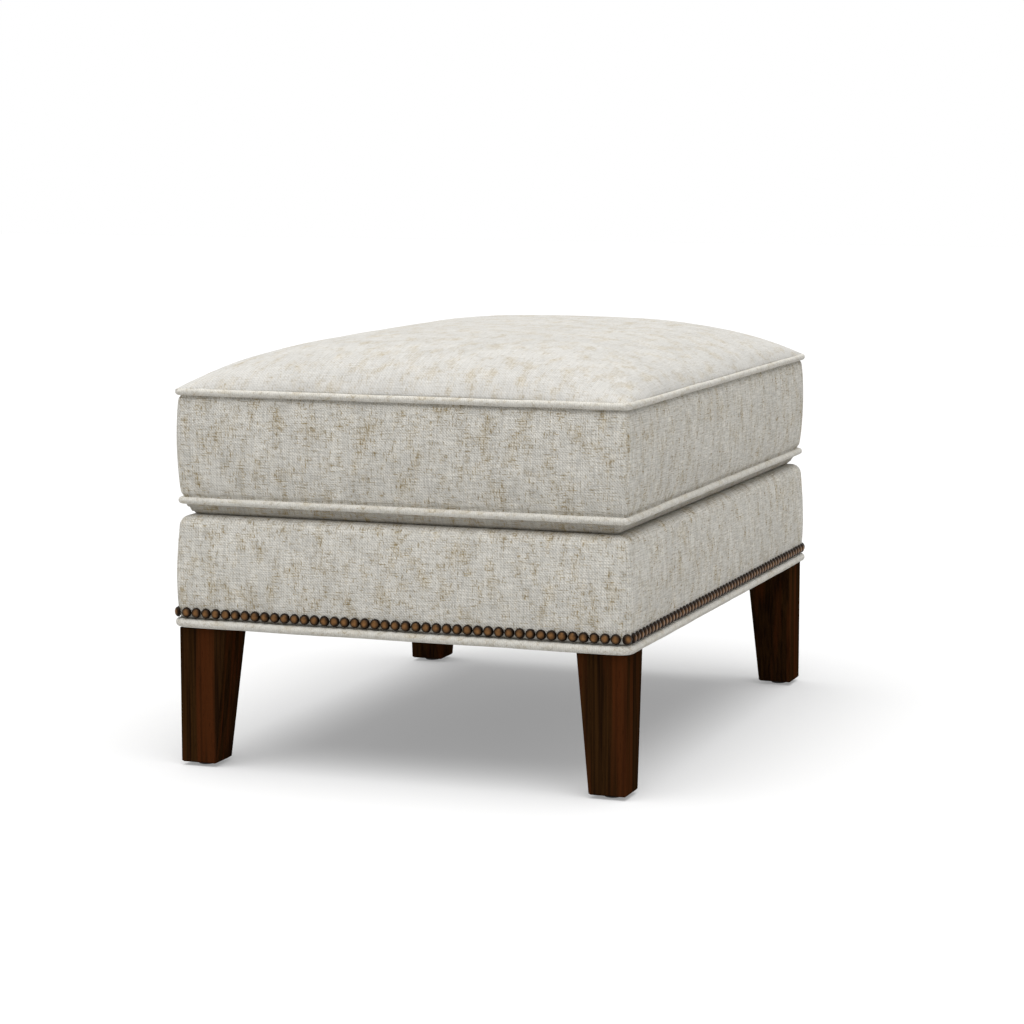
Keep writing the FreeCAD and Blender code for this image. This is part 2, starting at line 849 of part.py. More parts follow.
def make_nails():
    """Domed nail heads in a close row above the base welt, one across each corner."""
    radius = cell("nail_diameter").value / 2
    dome = cell("nail_dome").value
    rim = cell("nail_rim").value
    height = cell("nail_height").value
    seat = (cell("base_low_reach") + cell("nail_rim") + soft_gap).value
    ball = (radius ** 2 + (dome - rim) ** 2) / (2 * (dome - rim))
    lean = math.asin(radius / ball) / 2
    middle = FreeCAD.Vector(dome - ball + ball * math.cos(lean), 0, ball * math.sin(lean))
    corners = [FreeCAD.Vector(*place) for place in (
        (0, 0, 0), (0, 0, radius), (rim, 0, radius), (dome, 0, 0))]
    wire = Part.Wire([
        Part.LineSegment(corners[0], corners[1]).toShape(),
        Part.LineSegment(corners[1], corners[2]).toShape(),
        Part.Arc(corners[2], middle, corners[3]).toShape(),
        Part.LineSegment(corners[3], corners[0]).toShape(),
    ])
    head = Part.Face(wire).revolve(FreeCAD.Vector(0, 0, 0), FreeCAD.Vector(1, 0, 0), 360)
    heads = []

    def drive(across, along, turn):
        nail = head.copy()
        nail.rotate(FreeCAD.Vector(0, 0, 0), FreeCAD.Vector(0, 0, 1), turn)
        nail.translate(FreeCAD.Vector(across, along, height))
        heads.append(nail)

    faces = [
        (0, half_width.value, half_length.value, cell("nail_spacing_long").value),
        (90, half_length.value, half_width.value, cell("nail_spacing_short").value),
    ]
    for turn, distance, half_run, spacing in faces:
        span = 2 * (half_run + seat)
        gaps = round(span / spacing)
        for index in range(1, gaps):
            along = index * span / gaps - span / 2
            if turn == 0:
                drive(distance + seat, along, 0)
                drive(-distance - seat, along, 180)
            else:
                drive(along, distance + seat, 90)
                drive(along, -distance - seat, 270)
    for turn, sign_across, sign_along in ((45, 1, 1), (135, -1, 1), (225, -1, -1), (315, 1, -1)):
        drive(sign_across * (half_width.value + seat), sign_along * (half_length.value + seat), turn)
    nails = new_piece("Part::Feature", "nails")
    nails.Shape = Part.makeCompound(heads)
    nails.Placement = FreeCAD.Placement()


# Cushion


def crown_share(across_share):
    """How much of the crown's rise is left at a share of the half width."""
    position = rim_half_width * across_share / (half_width + cell("crown_overhang"))
    return (as_size(1) - position ** cell("crown_power_across")) ** cell("crown_fullness")


def crown_sections(body, name, inset, drop, base):
    """Sketches across the crown, from the front end to the back end."""
    shares = CROWN_SHARES
    left = [crown_share(share) for share in shares]
    sketches = []
    for index in range(CROWN_SECTIONS):
        turn = math.pi / 2 * (2 * index / (CROWN_SECTIONS - 1) - 1)
        station = math.sin(turn)
        along = rim_half_length * abs(station) / (half_length + cell("crown_overhang"))
        fall = as_size(1) - along ** cell("crown_power_along")
        rise = cell("crown_rise") * fall ** cell("crown_fullness")
        heights = [crown_level - drop + rise * share for share in left]
        reach = rim_half_width - inset
        place = (rim_half_length - inset) * -station
        sketch = new_sketch(body, name, "XZ_Plane", place)
        points = [(-reach, base), (reach, base), (reach, heights[0])]
        points += [Via(reach * shares[1], heights[1]), (reach * shares[2], heights[2])]
        points += [Via(reach * shares[3], heights[3]), (reach * shares[4], heights[4])]
        points += [Via(0, heights[5]), (reach * -shares[4], heights[4])]
        points += [Via(reach * -shares[3], heights[3]), (reach * -shares[2], heights[2])]
        points += [Via(reach * -shares[1], heights[1]), (-reach, heights[0])]
        outline(sketch, points)
        sketches.append(sketch)
    return sketches


def crown_loft(body, kind, name, inset, drop, base):
    """Add or cut the crowned form that the sections give."""
    sections = crown_sections(body, name, inset, drop, base)
    loft = body.newObject("PartDesign::" + kind, name + "Loft")
    loft.Profile = sections[0]
    loft.Sections = sections[1:]
    loft.Ruled = False
    return loft


def make_top_panel():
    """The crowned top panel, an open shell one fabric thick."""
    thickness = cell("panel_thickness")
    rim = upper_welt_height - cell("panel_rim_depth")
    body = new_body("top_panel")
    crown_loft(body, "AdditiveLoft", "Outside", as_size(0), as_size(0), rim)
    crown_loft(body, "SubtractiveLoft", "Inside", thickness, thickness, rim - thickness)


def make_fibre_top():
    """The fibre pad that fills the crown."""
    inset = cell("panel_thickness") + soft_gap
    body = new_body("fibre_top")
    crown_loft(body, "AdditiveLoft", "Fill", inset, inset, foam_top + soft_gap)


def rounded_tray(body, name, inset, bottom, top):
    """A block with rounded corners in plan and a rounded lower edge."""
    sketch = new_sketch(body, name, "XY_Plane", bottom)
    across = half_width + lower_rim_reach - inset
    along = half_length + lower_rim_reach - inset
    rectangle(sketch, -across, -along, across, along)
    tray = pad(body, sketch, top - bottom)
    corners = fillet(body, tray, is_upright, cell("underside_corner_radius") - inset)
    return fillet(body, corners, is_level_at(bottom.value), cell("underside_radius") - inset)


def make_bottom_panel():
    """The bottom panel: flat where it rests, with a rounded edge up to the lower welt."""
    thickness = cell("panel_thickness")
    top = boxing_bottom - soft_gap
    outside = document.addObject("PartDesign::Body", "UndersideOutside")
    rounded_tray(outside, "Plan", as_size(0), cushion_bottom, top)
    inside = document.addObject("PartDesign::Body", "UndersideInside")
    rounded_tray(inside, "Plan", thickness, cushion_bottom + thickness, top + thickness)
    panel = new_piece("Part::Cut", "bottom_panel")
    panel.Base = outside
    panel.Tool = inside


def make_fibre_bottom():
    """The fibre pad under the foam."""
    inset = cell("panel_thickness") + soft_gap
    body = new_body("fibre_bottom")
    rounded_tray(body, "Fill", inset, cushion_bottom + inset, foam_bottom - soft_gap)


def make_foam_core():
    """The cushion's foam block."""
    inset = cell("panel_thickness") + cell("foam_margin") - cell("boxing_lower_reach")
    block("foam_core", (inset - half_width, inset - half_length, foam_bottom),
          (half_width - inset, half_length - inset, foam_top))


def boxing_line(inset):
    """The three points of the boxing's bulged side, drawn in by an inset."""
    middle = (boxing_bottom + boxing_top) / 2
    return [
        (cell("boxing_lower_reach") - inset, boxing_bottom),
        Via(cell("boxing_bulge") - inset, middle),
        (cell("boxing_upper_reach") - inset, boxing_top),
    ]


def make_boxing(name, turn, distance, length):
    """One side strip of the cushion cover, mitred at the corners."""
    section = boxing_line(as_size(0)) + boxing_line(cell("panel_thickness"))[::-1]
    body = side_piece("boxing_" + name, section, length, cell("cut_margin"))
    put_on_side(body, turn, distance)
    return body


def make_boxing_back(part, low, high):
    """Half of the back strip, above or below the zip."""
    body = make_boxing("back_" + part, 90, half_length, cover_width)
    sketch = new_sketch(body, "ZipSlot", "XZ_Plane")
    depth = cell("cut_margin")
    rectangle(sketch, -depth, low, depth, high)
    pocket(body, sketch)


def zip_bar(label, half_run, low_depth, high_depth, low, high):
    """A bar along the zip between two depths and two heights."""
    return block(label, (-half_run, half_length + low_depth, low),
                 (half_run, half_length + high_depth, high))


def make_zip():
    """Tapes, chain and stops of the zip."""
    tape_run = half_width - cell("zip_tape_margin")
    lift = cell("bore_clearance")
    zip_bar("zip_tape_upper", tape_run, tape_back, tape_face,
            zip_level + lift, zip_level + cell("zip_tape_width"))
    zip_bar("zip_tape_lower", tape_run, tape_back, tape_face,
            zip_level - cell("zip_tape_width"), zip_level - lift)
    half_chain = cell("zip_chain_width") / 2
    zip_bar("zip_chain", zip_half_run, tape_face, chain_face,
            zip_level - half_chain, zip_level + half_chain)
    stops = new_body("zip_stops")
    sketch = new_sketch(stops, "Plan", "XY_Plane", zip_level - half_chain)
    for sign in (1, -1):
        near = zip_half_run * sign
        far = (zip_half_run + cell("zip_stop_length")) * sign
        rectangle(sketch, near, half_length + tape_face, far, half_length + chain_face)
    pad(stops, sketch, cell("zip_chain_width"))


def make_slider():
    """The slider's shell round the chain, with the two lugs and pin that carry the pull."""
    clearance = cell("slider_clearance")
    inner = cell("zip_chain_width") / 2 + clearance
    outer = inner + cell("slider_flange")
    plate_low = half_length + chain_face + clearance
    plate_high = plate_low + cell("slider_plate")
    flange_low = half_length + tape_face + clearance
    body = new_body("zip_slider")
    section = new_sketch(body, "Section", "YZ_Plane", slider_start)
    outline(section, [
        (flange_low, zip_level - outer),
        (plate_high, zip_level - outer),
        (plate_high, zip_level + outer),
        (flange_low, zip_level + outer),
        (flange_low, zip_level + inner),
        (plate_low, zip_level + inner),
        (plate_low, zip_level - inner),
        (flange_low, zip_level - inner),
    ])
    pad(body, section, cell("slider_length"), midplane=True)
    half_lug = cell("lug_length") / 2
    half_gap = cell("lug_gap") / 2
    lug_top = pivot_depth + cell("pivot_diameter") / 2 + cell("lug_thickness") / 2
    lug = new_sketch(body, "Lugs", "XY_Plane", zip_level)
    rectangle(lug, slider_start - half_lug, plate_high - clearance,
              slider_start + half_lug, half_length + lug_top)
    pad(body, lug, cell("lug_gap") + cell("lug_thickness") * 2, midplane=True)
    gap = new_sketch(body, "PullGap", "XY_Plane", zip_level - half_gap)
    rectangle(gap, slider_start - cell("lug_length"), plate_high,
              slider_start + cell("lug_length"), half_length + lug_top + clearance)
    pocket(body, gap, cell("lug_gap"), reverse=True)
    pin = new_sketch(body, "Pin", "XY_Plane", zip_level)
    circles(pin, [(slider_start, half_length + pivot_depth)], cell("pivot_diameter") / 2)
    pad(body, pin, cell("lug_gap") + cell("lug_thickness"), midplane=True)


def make_pull():
    """The pull: an eye round the slider's pin and a flat tab that lies along the zip."""
    body = new_body("zip_pull")
    axis_along = half_length + pivot_depth
    eye_radius = cell("pivot_diameter") / 2 + cell("bore_clearance") + cell("lug_thickness") / 2
    eye_width = cell("lug_gap") - cell("pull_side_clearance") * 2
    eye = new_sketch(body, "Eye", "XY_Plane", zip_level)
    circles(eye, [(slider_start, axis_along)], eye_radius)
    pad(body, eye, eye_width, midplane=True)
    half_thick = cell("pull_thickness") / 2
    neck_end = slider_start + cell("slider_length") / 2
    neck = new_sketch(body, "Neck", "XY_Plane", zip_level)
    rectangle(neck, slider_start, axis_along - half_thick, neck_end, axis_along + half_thick)
    pad(body, neck, eye_width, midplane=True)
    tab = new_sketch(body, "Tab", "XY_Plane", zip_level)
    rectangle(tab, neck_end - half_thick, axis_along - half_thick,
              slider_start + cell("pull_length"), axis_along + half_thick)
    pad(body, tab, cell("pull_width"), midplane=True)
    bore = new_sketch(body, "PinBore", "XY_Plane")
    circles(bore, [(slider_start, axis_along)], cell("pivot_diameter") / 2 + cell("bore_clearance"))
    pocket(body, bore)


# Sizes that several pieces meet at

bolt_radius = cell("bolt_diameter") / 2
bolt_bore_radius = bolt_radius + cell("bore_clearance")
rail_middle = -frame_inset - cell("rail_thickness") / 2
dowel_edge = cell("dowel_edge_distance")
dowel_levels = [frame_bottom + dowel_edge, rail_top - dowel_edge]
dowel_bore_radius = cell("dowel_diameter") / 2 + cell("bore_clearance")
dowel_bore_depth = cell("dowel_length") / 2 + cell("bore_clearance")
cross_edge = cell("cross_dowel_edge_distance")
cross_dowel_levels = [
    frame_bottom + cross_edge,
    frame_bottom + cell("cross_rail_height") - cross_edge,
]
cross_dowel_bore_depth = cell("cross_dowel_length") / 2 + cell("bore_clearance")
spring_radius = cell("spring_wire") / 2
spring_level = rail_top + cell("clip_thickness") + spring_radius + cell("bore_clearance")
spring_half_span = half_width + rail_middle
pad_inner_reach = frame_inset + cell("edge_pad_cap")
base_welt_radius = cell("base_welt_diameter") / 2
nip_reach = cell("base_welt_reach") - base_welt_radius - soft_gap
lower_welt_height = deck_height + cell("lower_welt_rise")
upper_welt_height = lower_welt_height + cell("upper_welt_rise")
foam_bottom = deck_height + cell("foam_rise")
foam_top = upper_welt_height - cell("foam_drop")
cushion_welt_radius = cell("cushion_welt_diameter") / 2
lower_rim_reach = cell("lower_welt_reach") - cushion_welt_radius - soft_gap
upper_rim_reach = cell("upper_welt_reach") - cushion_welt_radius - soft_gap
rim_half_width = half_width + upper_rim_reach
rim_half_length = half_length + upper_rim_reach
crown_level = upper_welt_height + cell("crown_spring")
cushion_bottom = deck_height + soft_gap
boxing_bottom = lower_welt_height + cushion_welt_radius + soft_gap
boxing_top = upper_welt_height - cushion_welt_radius - soft_gap
zip_level = (boxing_bottom + boxing_top) / 2
tape_face = cell("boxing_bulge") - cell("zip_tape_depth")
tape_back = tape_face - cell("zip_tape_thickness")
chain_face = tape_face + cell("zip_chain_thickness")
zip_half_run = half_width - cell("zip_end_margin")
slider_start = cell("slider_margin") - zip_half_run
pivot_depth = chain_face + cell("slider_clearance") + cell("slider_plate") + cell("pivot_height")

# Base
for corner in CORNERS:
    make_leg(*corner)
    make_post(*corner)
make_glides()
make_hanger_bolts()
make_threaded_inserts()
for side in SIDES:
    make_rail(*side)
make_cross_rail()
make_dowels()
make_springs()
insulator_bottom = make_clips() + seat_gap
make_insulator(insulator_bottom)
make_deck_pad(insulator_bottom + cell("insulator_thickness"))
make_deck_cloth()
for side in SIDES:
    make_side_pad(*side)
    make_cover(*side)
make_dust_cover()
make_welt("base_welt", cell("base_welt_reach"), cell("base_welt_height"),
          cell("base_welt_diameter"))
make_nails()

# Cushion
make_foam_core()
make_fibre_top()
make_fibre_bottom()
make_top_panel()
make_bottom_panel()
for side in SIDES:
    if side[0] != "back":
        make_boxing(*side)
half_slot = cell("zip_slot") / 2
make_boxing_back("upper", boxing_bottom - cell("cut_margin"), zip_level + half_slot)
make_boxing_back("lower", zip_level - half_slot, boxing_top + cell("cut_margin"))
make_welt("welt_lower", cell("lower_welt_reach"), lower_welt_height, cell("cushion_welt_diameter"))
make_welt("welt_upper", cell("upper_welt_reach"), upper_welt_height, cell("cushion_welt_diameter"))
make_zip()
make_slider()
make_pull()

document.recompute()

for item in document.Objects:
    if "Invalid" in item.State or "Error" in item.State:
        raise ValueError("%s failed: %s" % (item.Name, item.State))

os.makedirs("parts", exist_ok=True)
for piece in pieces:
    if piece.Shape.isNull() or not piece.Shape.isValid():
        raise ValueError("%s has no sound shape" % piece.Label)
for piece in pieces:
    piece.Shape.exportStep("parts/%s.step" % piece.Label)
    print(piece.Label, len(piece.Shape.Solids), round(piece.Shape.Volume))
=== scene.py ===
import logging
import math
from dataclasses import dataclass, field
from enum import Enum
from typing import Sequence

import bmesh
import bpy
import numpy as np
from mathutils import Matrix, Vector, noise


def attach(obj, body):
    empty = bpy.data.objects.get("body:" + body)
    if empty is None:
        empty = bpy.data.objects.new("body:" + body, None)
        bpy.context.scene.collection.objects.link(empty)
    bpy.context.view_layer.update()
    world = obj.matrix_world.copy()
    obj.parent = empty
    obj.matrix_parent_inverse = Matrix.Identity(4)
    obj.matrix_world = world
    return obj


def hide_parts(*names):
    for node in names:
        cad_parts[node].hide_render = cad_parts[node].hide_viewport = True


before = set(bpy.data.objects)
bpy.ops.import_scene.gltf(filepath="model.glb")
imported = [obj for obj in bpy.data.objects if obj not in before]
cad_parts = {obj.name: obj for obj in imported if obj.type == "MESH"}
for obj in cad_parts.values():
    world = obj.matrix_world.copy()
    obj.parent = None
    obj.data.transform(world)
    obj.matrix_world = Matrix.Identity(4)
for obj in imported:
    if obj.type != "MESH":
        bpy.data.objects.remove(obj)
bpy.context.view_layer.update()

# Looks of an upholstered footstool: a loose crowned box cushion on a padded base with a close
# row of domed nails, a thick welt and four tapered legs. The sizes below are in millimetres and
# meshes are made in metres. Front is -Y, right is +X.

MM = 0.001
WHITE = (1.0, 1.0, 1.0, 1.0)
LOG = logging.getLogger("footstool")


class Body(Enum):
    """The rigid bodies that the new pieces ride on."""

    BASE = "base"
    CUSHION = "cushion"


class Side(Enum):
    """The four sides, counter-clockwise from the right, with their turn in quarters."""

    RIGHT = 0
    BACK = 1
    LEFT = 2
    FRONT = 3


# Nodes and finishes


def linear(code: str) -> tuple[float, float, float, float]:
    """Turn an sRGB hex colour into linear light.

    Args:
        code: six hex digits.

    Returns:
        Red, green, blue and an alpha of 1.
    """
    shares = [int(code[index:index + 2], 16) / 255 for index in (0, 2, 4)]
    light = [s / 12.92 if s <= 0.04045 else ((s + 0.055) / 1.055) ** 2.4 for s in shares]
    return (*light, 1.0)


def add_node(
    tree: bpy.types.NodeTree,
    kind: str,
    inputs: dict | None = None,
    **settings: object,
) -> bpy.types.Node:
    """Add a node, set it and link it.

    Args:
        tree: the node tree that takes the node.
        kind: the node's type name.
        inputs: by socket name or number, a value or the output socket to link.
        settings: attributes of the node itself.

    Returns:
        The new node.
    """
    made = tree.nodes.new(kind)
    for name, value in settings.items():
        setattr(made, name, value)
    for key, value in (inputs or {}).items():
        if isinstance(value, bpy.types.NodeSocket):
            tree.links.new(value, made.inputs[key])
        else:
            made.inputs[key].default_value = value
    return made


@dataclass(frozen=True)
class Finish:
    """A material with one Principled shader, which each kind of finish draws."""

    label: str

    def build(self) -> bpy.types.Material:
        """Make the material.

        Returns:
            The material.
        """
        material = bpy.data.materials.new(self.label)
        material.use_nodes = True
        material.node_tree.nodes.clear()
        self.draw(material.node_tree)
        return material

    def finish(
        self,
        tree: bpy.types.NodeTree,
        colour: object,
        roughness: object,
        height: bpy.types.NodeSocket | None = None,
        depth: float = 0.1,
        **constants: object,
    ) -> None:
        """Add the shader and the output.

        Args:
            tree: the material's tree.
            colour: a colour or the socket that gives it.
            roughness: a number or the socket that gives it.
            height: the socket that gives the surface's relief from 0 to 1, if it has any.
            depth: millimetres between the relief's lowest and highest point.
            constants: the shader's other inputs, with _ for each space in their names.
        """
        inputs = {"Base Color": colour, "Roughness": roughness}
        inputs.update({name.replace("_", " "): value for name, value in constants.items()})
        if height is not None:
            bump = add_node(tree, "ShaderNodeBump", {
                "Strength": 1.0, "Distance": depth * MM, "Height": height})
            inputs["Normal"] = bump.outputs["Normal"]
        shader = add_node(tree, "ShaderNodeBsdfPrincipled", inputs)
        add_node(tree, "ShaderNodeOutputMaterial", {"Surface": shader.outputs["BSDF"]})


def stretched_noise(
    tree: bpy.types.NodeTree,
    place: bpy.types.NodeSocket,
    size: tuple[float, float, float],
    shift: float = 0.0,
    detail: float = 2.0,
) -> bpy.types.NodeSocket:
    """Noise whose blobs have a real size along each axis.

    Args:
        tree: the material's tree.
        place: coordinates in metres.
        size: the blobs' size in millimetres along each axis.
        shift: moves the pattern, so that two noises differ.
        detail: octaves of finer noise.

    Returns:
        The noise, about 0.5 in the middle.
    """
    mapping = add_node(tree, "ShaderNodeMapping", {
        "Vector": place, "Location": (shift, shift * 0.37, shift * 1.7),
        "Scale": tuple(1 / (length * MM) for length in size)})
    made = add_node(tree, "ShaderNodeTexNoise", {
        "Vector": mapping.outputs["Vector"], "Scale": 1.0, "Detail": detail, "Roughness": 0.55})
    return made.outputs["Fac"]


def spread(
    tree: bpy.types.NodeTree,
    value: bpy.types.NodeSocket,
    low: float,
    high: float,
    out_low: float = 0.0,
    out_high: float = 1.0,
) -> bpy.types.NodeSocket:
    """Stretch a value from one range to another and clamp it.

    Args:
        tree: the material's tree.
        value: the socket to stretch.
        low: the value that gives out_low.
        high: the value that gives out_high.
        out_low: the result's low end.
        out_high: the result's high end.

    Returns:
        The stretched value.
    """
    made = add_node(tree, "ShaderNodeMapRange", {
        "Value": value, "From Min": low, "From Max": high,
        "To Min": out_low, "To Max": out_high})
    return made.outputs["Result"]


def blend_colour(
    tree: bpy.types.NodeTree, share: object, first: object, second: object, how: str = "MIX"
) -> bpy.types.NodeSocket:
    """Mix two colours.

    Args:
        tree: the material's tree.
        share: how much of the second shows, a number or a socket.
        first: a colour or a socket.
        second: a colour or a socket.
        how: the mix's blend type.

    Returns:
        The mixed colour.
    """
    made = add_node(tree, "ShaderNodeMix", {0: share, 6: first, 7: second},
                    data_type="RGBA", blend_type=how)
    return made.outputs[2]


def combine(
    tree: bpy.types.NodeTree, how: str, first: object, second: object
) -> bpy.types.NodeSocket:
    """One arithmetic step.

    Args:
        tree: the material's tree.
        how: the math node's operation.
        first: a number or a socket.
        second: a number or a socket.

    Returns:
        The result.
    """
    made = add_node(tree, "ShaderNodeMath", {0: first, 1: second}, operation=how)
    return made.outputs["Value"]


@dataclass(frozen=True)
class LinenTwill(Finish):
    """Linen and viscose upholstery cloth, yarn-dyed and woven as a twill.

    Dark and pale yarns cross as short streaks, thick slubs give olive-brown flecks in loose
    clusters, and the weave gives diagonals that fall to the right. The real yarns are about
    0.6 mm wide and the diagonals about 1 mm apart; they are drawn 1.2 and 2.4 mm, so that they
    show from a step away.
    """

    ground: str = "CECBC3"
    tan: str = "B8AB90"
    slub: str = "85703F"
    diagonal_pitch: float = 2.4
    yarn_width: float = 1.2
    yarn_run: float = 22.0
    weft_swing: tuple[float, float] = (0.17, 0.12)
    warp_swing: tuple[float, float] = (0.14, 0.1)
    twill_swing: tuple[float, float] = (0.12, 0.07)
    weft_fleck: tuple[float, float, float] = (8.0, 1.5, 1.0)
    warp_fleck: tuple[float, float, float] = (1.5, 7.0, 1.0)
    patch: tuple[float, float, float] = (48.0, 34.0, 1.0)
    tan_patch: tuple[float, float, float] = (14.0, 30.0, 1.0)
    contrast: float = 1.0
    turn: float = 0.0

    def draw(self, tree: bpy.types.NodeTree) -> None:
        """Draw the finish.

        Args:
            tree: the material's empty tree.
        """
        uv = add_node(tree, "ShaderNodeUVMap", uv_map="UVMap").outputs["UV"]
        turned = add_node(tree, "ShaderNodeMapping", {
            "Vector": uv, "Rotation": (0.0, 0.0, self.turn)}).outputs["Vector"]
        weft = stretched_noise(tree, turned, (self.yarn_run, self.yarn_width, 1.0))
        warp = stretched_noise(tree, turned, (self.yarn_width, self.yarn_run, 1.0), 3.1)
        axes = add_node(tree, "ShaderNodeSeparateXYZ", {0: turned})
        along = combine(tree, "ADD", axes.outputs["X"], axes.outputs["Y"])
        wobble = stretched_noise(tree, turned, (9.0, 9.0, 1.0), 7.3)
        turns = 2 * math.pi / (self.diagonal_pitch * MM * math.sqrt(2))
        phase = combine(tree, "ADD", combine(tree, "MULTIPLY", along, turns),
                        combine(tree, "MULTIPLY", wobble, 2.0))
        diagonal = spread(tree, combine(tree, "SINE", phase, 0.0), -1.0, 1.0)
        patch = stretched_noise(tree, turned, self.patch, 5.7, 3.0)
        tan_patch = stretched_noise(tree, turned, self.tan_patch, 9.9, 3.0)
        light = spread(tree, patch, 0.38, 0.66, 0.965, 1.04)
        for value, least, most, (low, high) in (
                (weft, 0.36, 0.66, self.weft_swing), (warp, 0.36, 0.66, self.warp_swing),
                (diagonal, 0.0, 1.0, self.twill_swing)):
            light = combine(tree, "MULTIPLY", light, spread(
                tree, value, least, most, 1 - low * self.contrast, 1 + high * self.contrast))
        colour = blend_colour(tree, spread(tree, tan_patch, 0.5, 0.75, 0.0, 0.4),
                              linear(self.ground), linear(self.tan))
        for size, shift in ((self.weft_fleck, 12.4), (self.warp_fleck, 15.8)):
            fleck = stretched_noise(tree, turned, size, shift, 1.0)
            crowd = combine(tree, "ADD", fleck, combine(tree, "MULTIPLY", tan_patch, 0.35))
            colour = blend_colour(tree, spread(tree, crowd, 0.74, 0.96, 0.0, 0.8 * self.contrast),
                                  colour, linear(self.slub))
        colour = add_node(tree, "ShaderNodeVectorMath", {0: colour, 3: light},
                          operation="SCALE").outputs["Vector"]
        height = combine(tree, "ADD", diagonal, combine(tree, "ADD", weft, warp))
        self.finish(tree, colour, 0.92, height, 0.2 * self.contrast, Specular_IOR_Level=0.2,
                    Sheen_Weight=0.08, Sheen_Roughness=0.5, Sheen_Tint=linear("F4F2EC"))


@dataclass(frozen=True)
class StainedBeech(Finish):
    """Beech, turned dark by espresso stain under a satin varnish.

    The stain leaves upright red-brown streaks between near-black ones, and the varnish gives a
    soft gloss with faint pores.
    """

    dark: str = "1A0E07"
    brown: str = "33200E"
    red: str = "482410"
    pore: str = "0C0604"
    band: tuple[float, float, float] = (11.0, 11.0, 320.0)
    grain: tuple[float, float, float] = (2.6, 2.6, 150.0)
    pore_size: tuple[float, float, float] = (0.7, 0.7, 9.0)

    def draw(self, tree: bpy.types.NodeTree) -> None:
        """Draw the finish.

        Args:
            tree: the material's empty tree.
        """
        place = add_node(tree, "ShaderNodeTexCoord").outputs["Object"]
        bands = stretched_noise(tree, place, self.band, 2.0, 2.0)
        grain = stretched_noise(tree, place, self.grain, 4.0, 4.0)
        pores = stretched_noise(tree, place, self.pore_size, 6.0, 2.0)
        colour = blend_colour(tree, spread(tree, grain, 0.35, 0.65),
                              linear(self.dark), linear(self.brown))
        colour = blend_colour(tree, spread(tree, bands, 0.48, 0.66, 0.0, 0.75),
                              colour, linear(self.red))
        colour = blend_colour(tree, spread(tree, pores, 0.6, 0.72, 0.0, 0.5),
                              colour, linear(self.pore))
        self.finish(tree, colour, spread(tree, grain, 0.3, 0.7, 0.44, 0.56), pores, 0.04,
                    Specular_IOR_Level=0.0)


@dataclass(frozen=True)
class AntiqueBrass(Finish):
    """Antiqued brass, pressed into a dome and rubbed back.

    Colour follows each head's height. The top is brown gold, partly rubbed wear and partly a
    painted highlight. The rim is dark, partly patina and partly painted shade.
    """

    wear_and_highlight: str = "86603A"
    patina_and_shade: str = "1C120A"

    def draw(self, tree: bpy.types.NodeTree) -> None:
        """Draw the finish.

        Args:
            tree: the material's empty tree.
        """
        rise = add_node(tree, "ShaderNodeAttribute", attribute_name="rise").outputs["Fac"]
        place = add_node(tree, "ShaderNodeTexCoord").outputs["Object"]
        tarnish = stretched_noise(tree, place, (4.0, 4.0, 4.0), 1.0, 3.0)
        # Rim to top: patina with painted shade at the rim, wear with a painted highlight at the
        # top.
        wear_and_highlight = combine(tree, "ADD", rise, combine(tree, "MULTIPLY", tarnish, 0.35))
        share = combine(tree, "POWER", spread(tree, wear_and_highlight, 0.78, 1.24), 1.8)
        colour = blend_colour(tree, share, linear(self.patina_and_shade), linear(self.wear_and_highlight))
        scratches = stretched_noise(tree, place, (0.8, 0.8, 0.8), 3.0, 2.0)
        self.finish(tree, colour, spread(tree, share, 0.0, 1.0, 0.5, 0.3), scratches, 0.02,
                    Metallic=0.9)


@dataclass(frozen=True)
class PlainCloth(Finish):
    """A plain weave or felt in one colour, such as deck cloth, zip tape or dust cloth.

    The threads cross square and show as a fine grid, and felt shows as short soft fibres.
    """

    colour: str = "C9C3B8"
    dark: str = "A39C8F"
    thread: float = 1.2
    run: float = 8.0
    sheen: float = 0.1

    def draw(self, tree: bpy.types.NodeTree) -> None:
        """Draw the finish.

        Args:
            tree: the material's empty tree.
        """
        place = add_node(tree, "ShaderNodeTexCoord").outputs["Object"]
        across = stretched_noise(tree, place, (self.run, self.thread, self.thread), 1.0)
        along = stretched_noise(tree, place, (self.thread, self.run, self.thread), 4.0)
        weave = spread(tree, combine(tree, "ADD", across, along), 0.75, 1.25)
        colour = blend_colour(tree, weave, linear(self.dark), linear(self.colour))
        self.finish(tree, colour, 0.95, weave, 0.12, Specular_IOR_Level=0.2,
                    Sheen_Weight=self.sheen)


@dataclass(frozen=True)
class RawSpruce(Finish):
    """Sawn spruce, unfinished: pale yellow wood with darker year rings along the board."""

    pale: str = "C9A97A"
    ring: str = "A67F50"

    def draw(self, tree: bpy.types.NodeTree) -> None:
        """Draw the finish.

        Args:
            tree: the material's empty tree.
        """
        place = add_node(tree, "ShaderNodeTexCoord").outputs["Object"]
        rings = stretched_noise(tree, place, (90.0, 90.0, 6.0), 1.0, 3.0)
        saw = stretched_noise(tree, place, (2.0, 2.0, 1.5), 3.0, 2.0)
        colour = blend_colour(tree, spread(tree, rings, 0.4, 0.6),
                              linear(self.pale), linear(self.ring))
        self.finish(tree, colour, 0.75, saw, 0.15, Specular_IOR_Level=0.3)


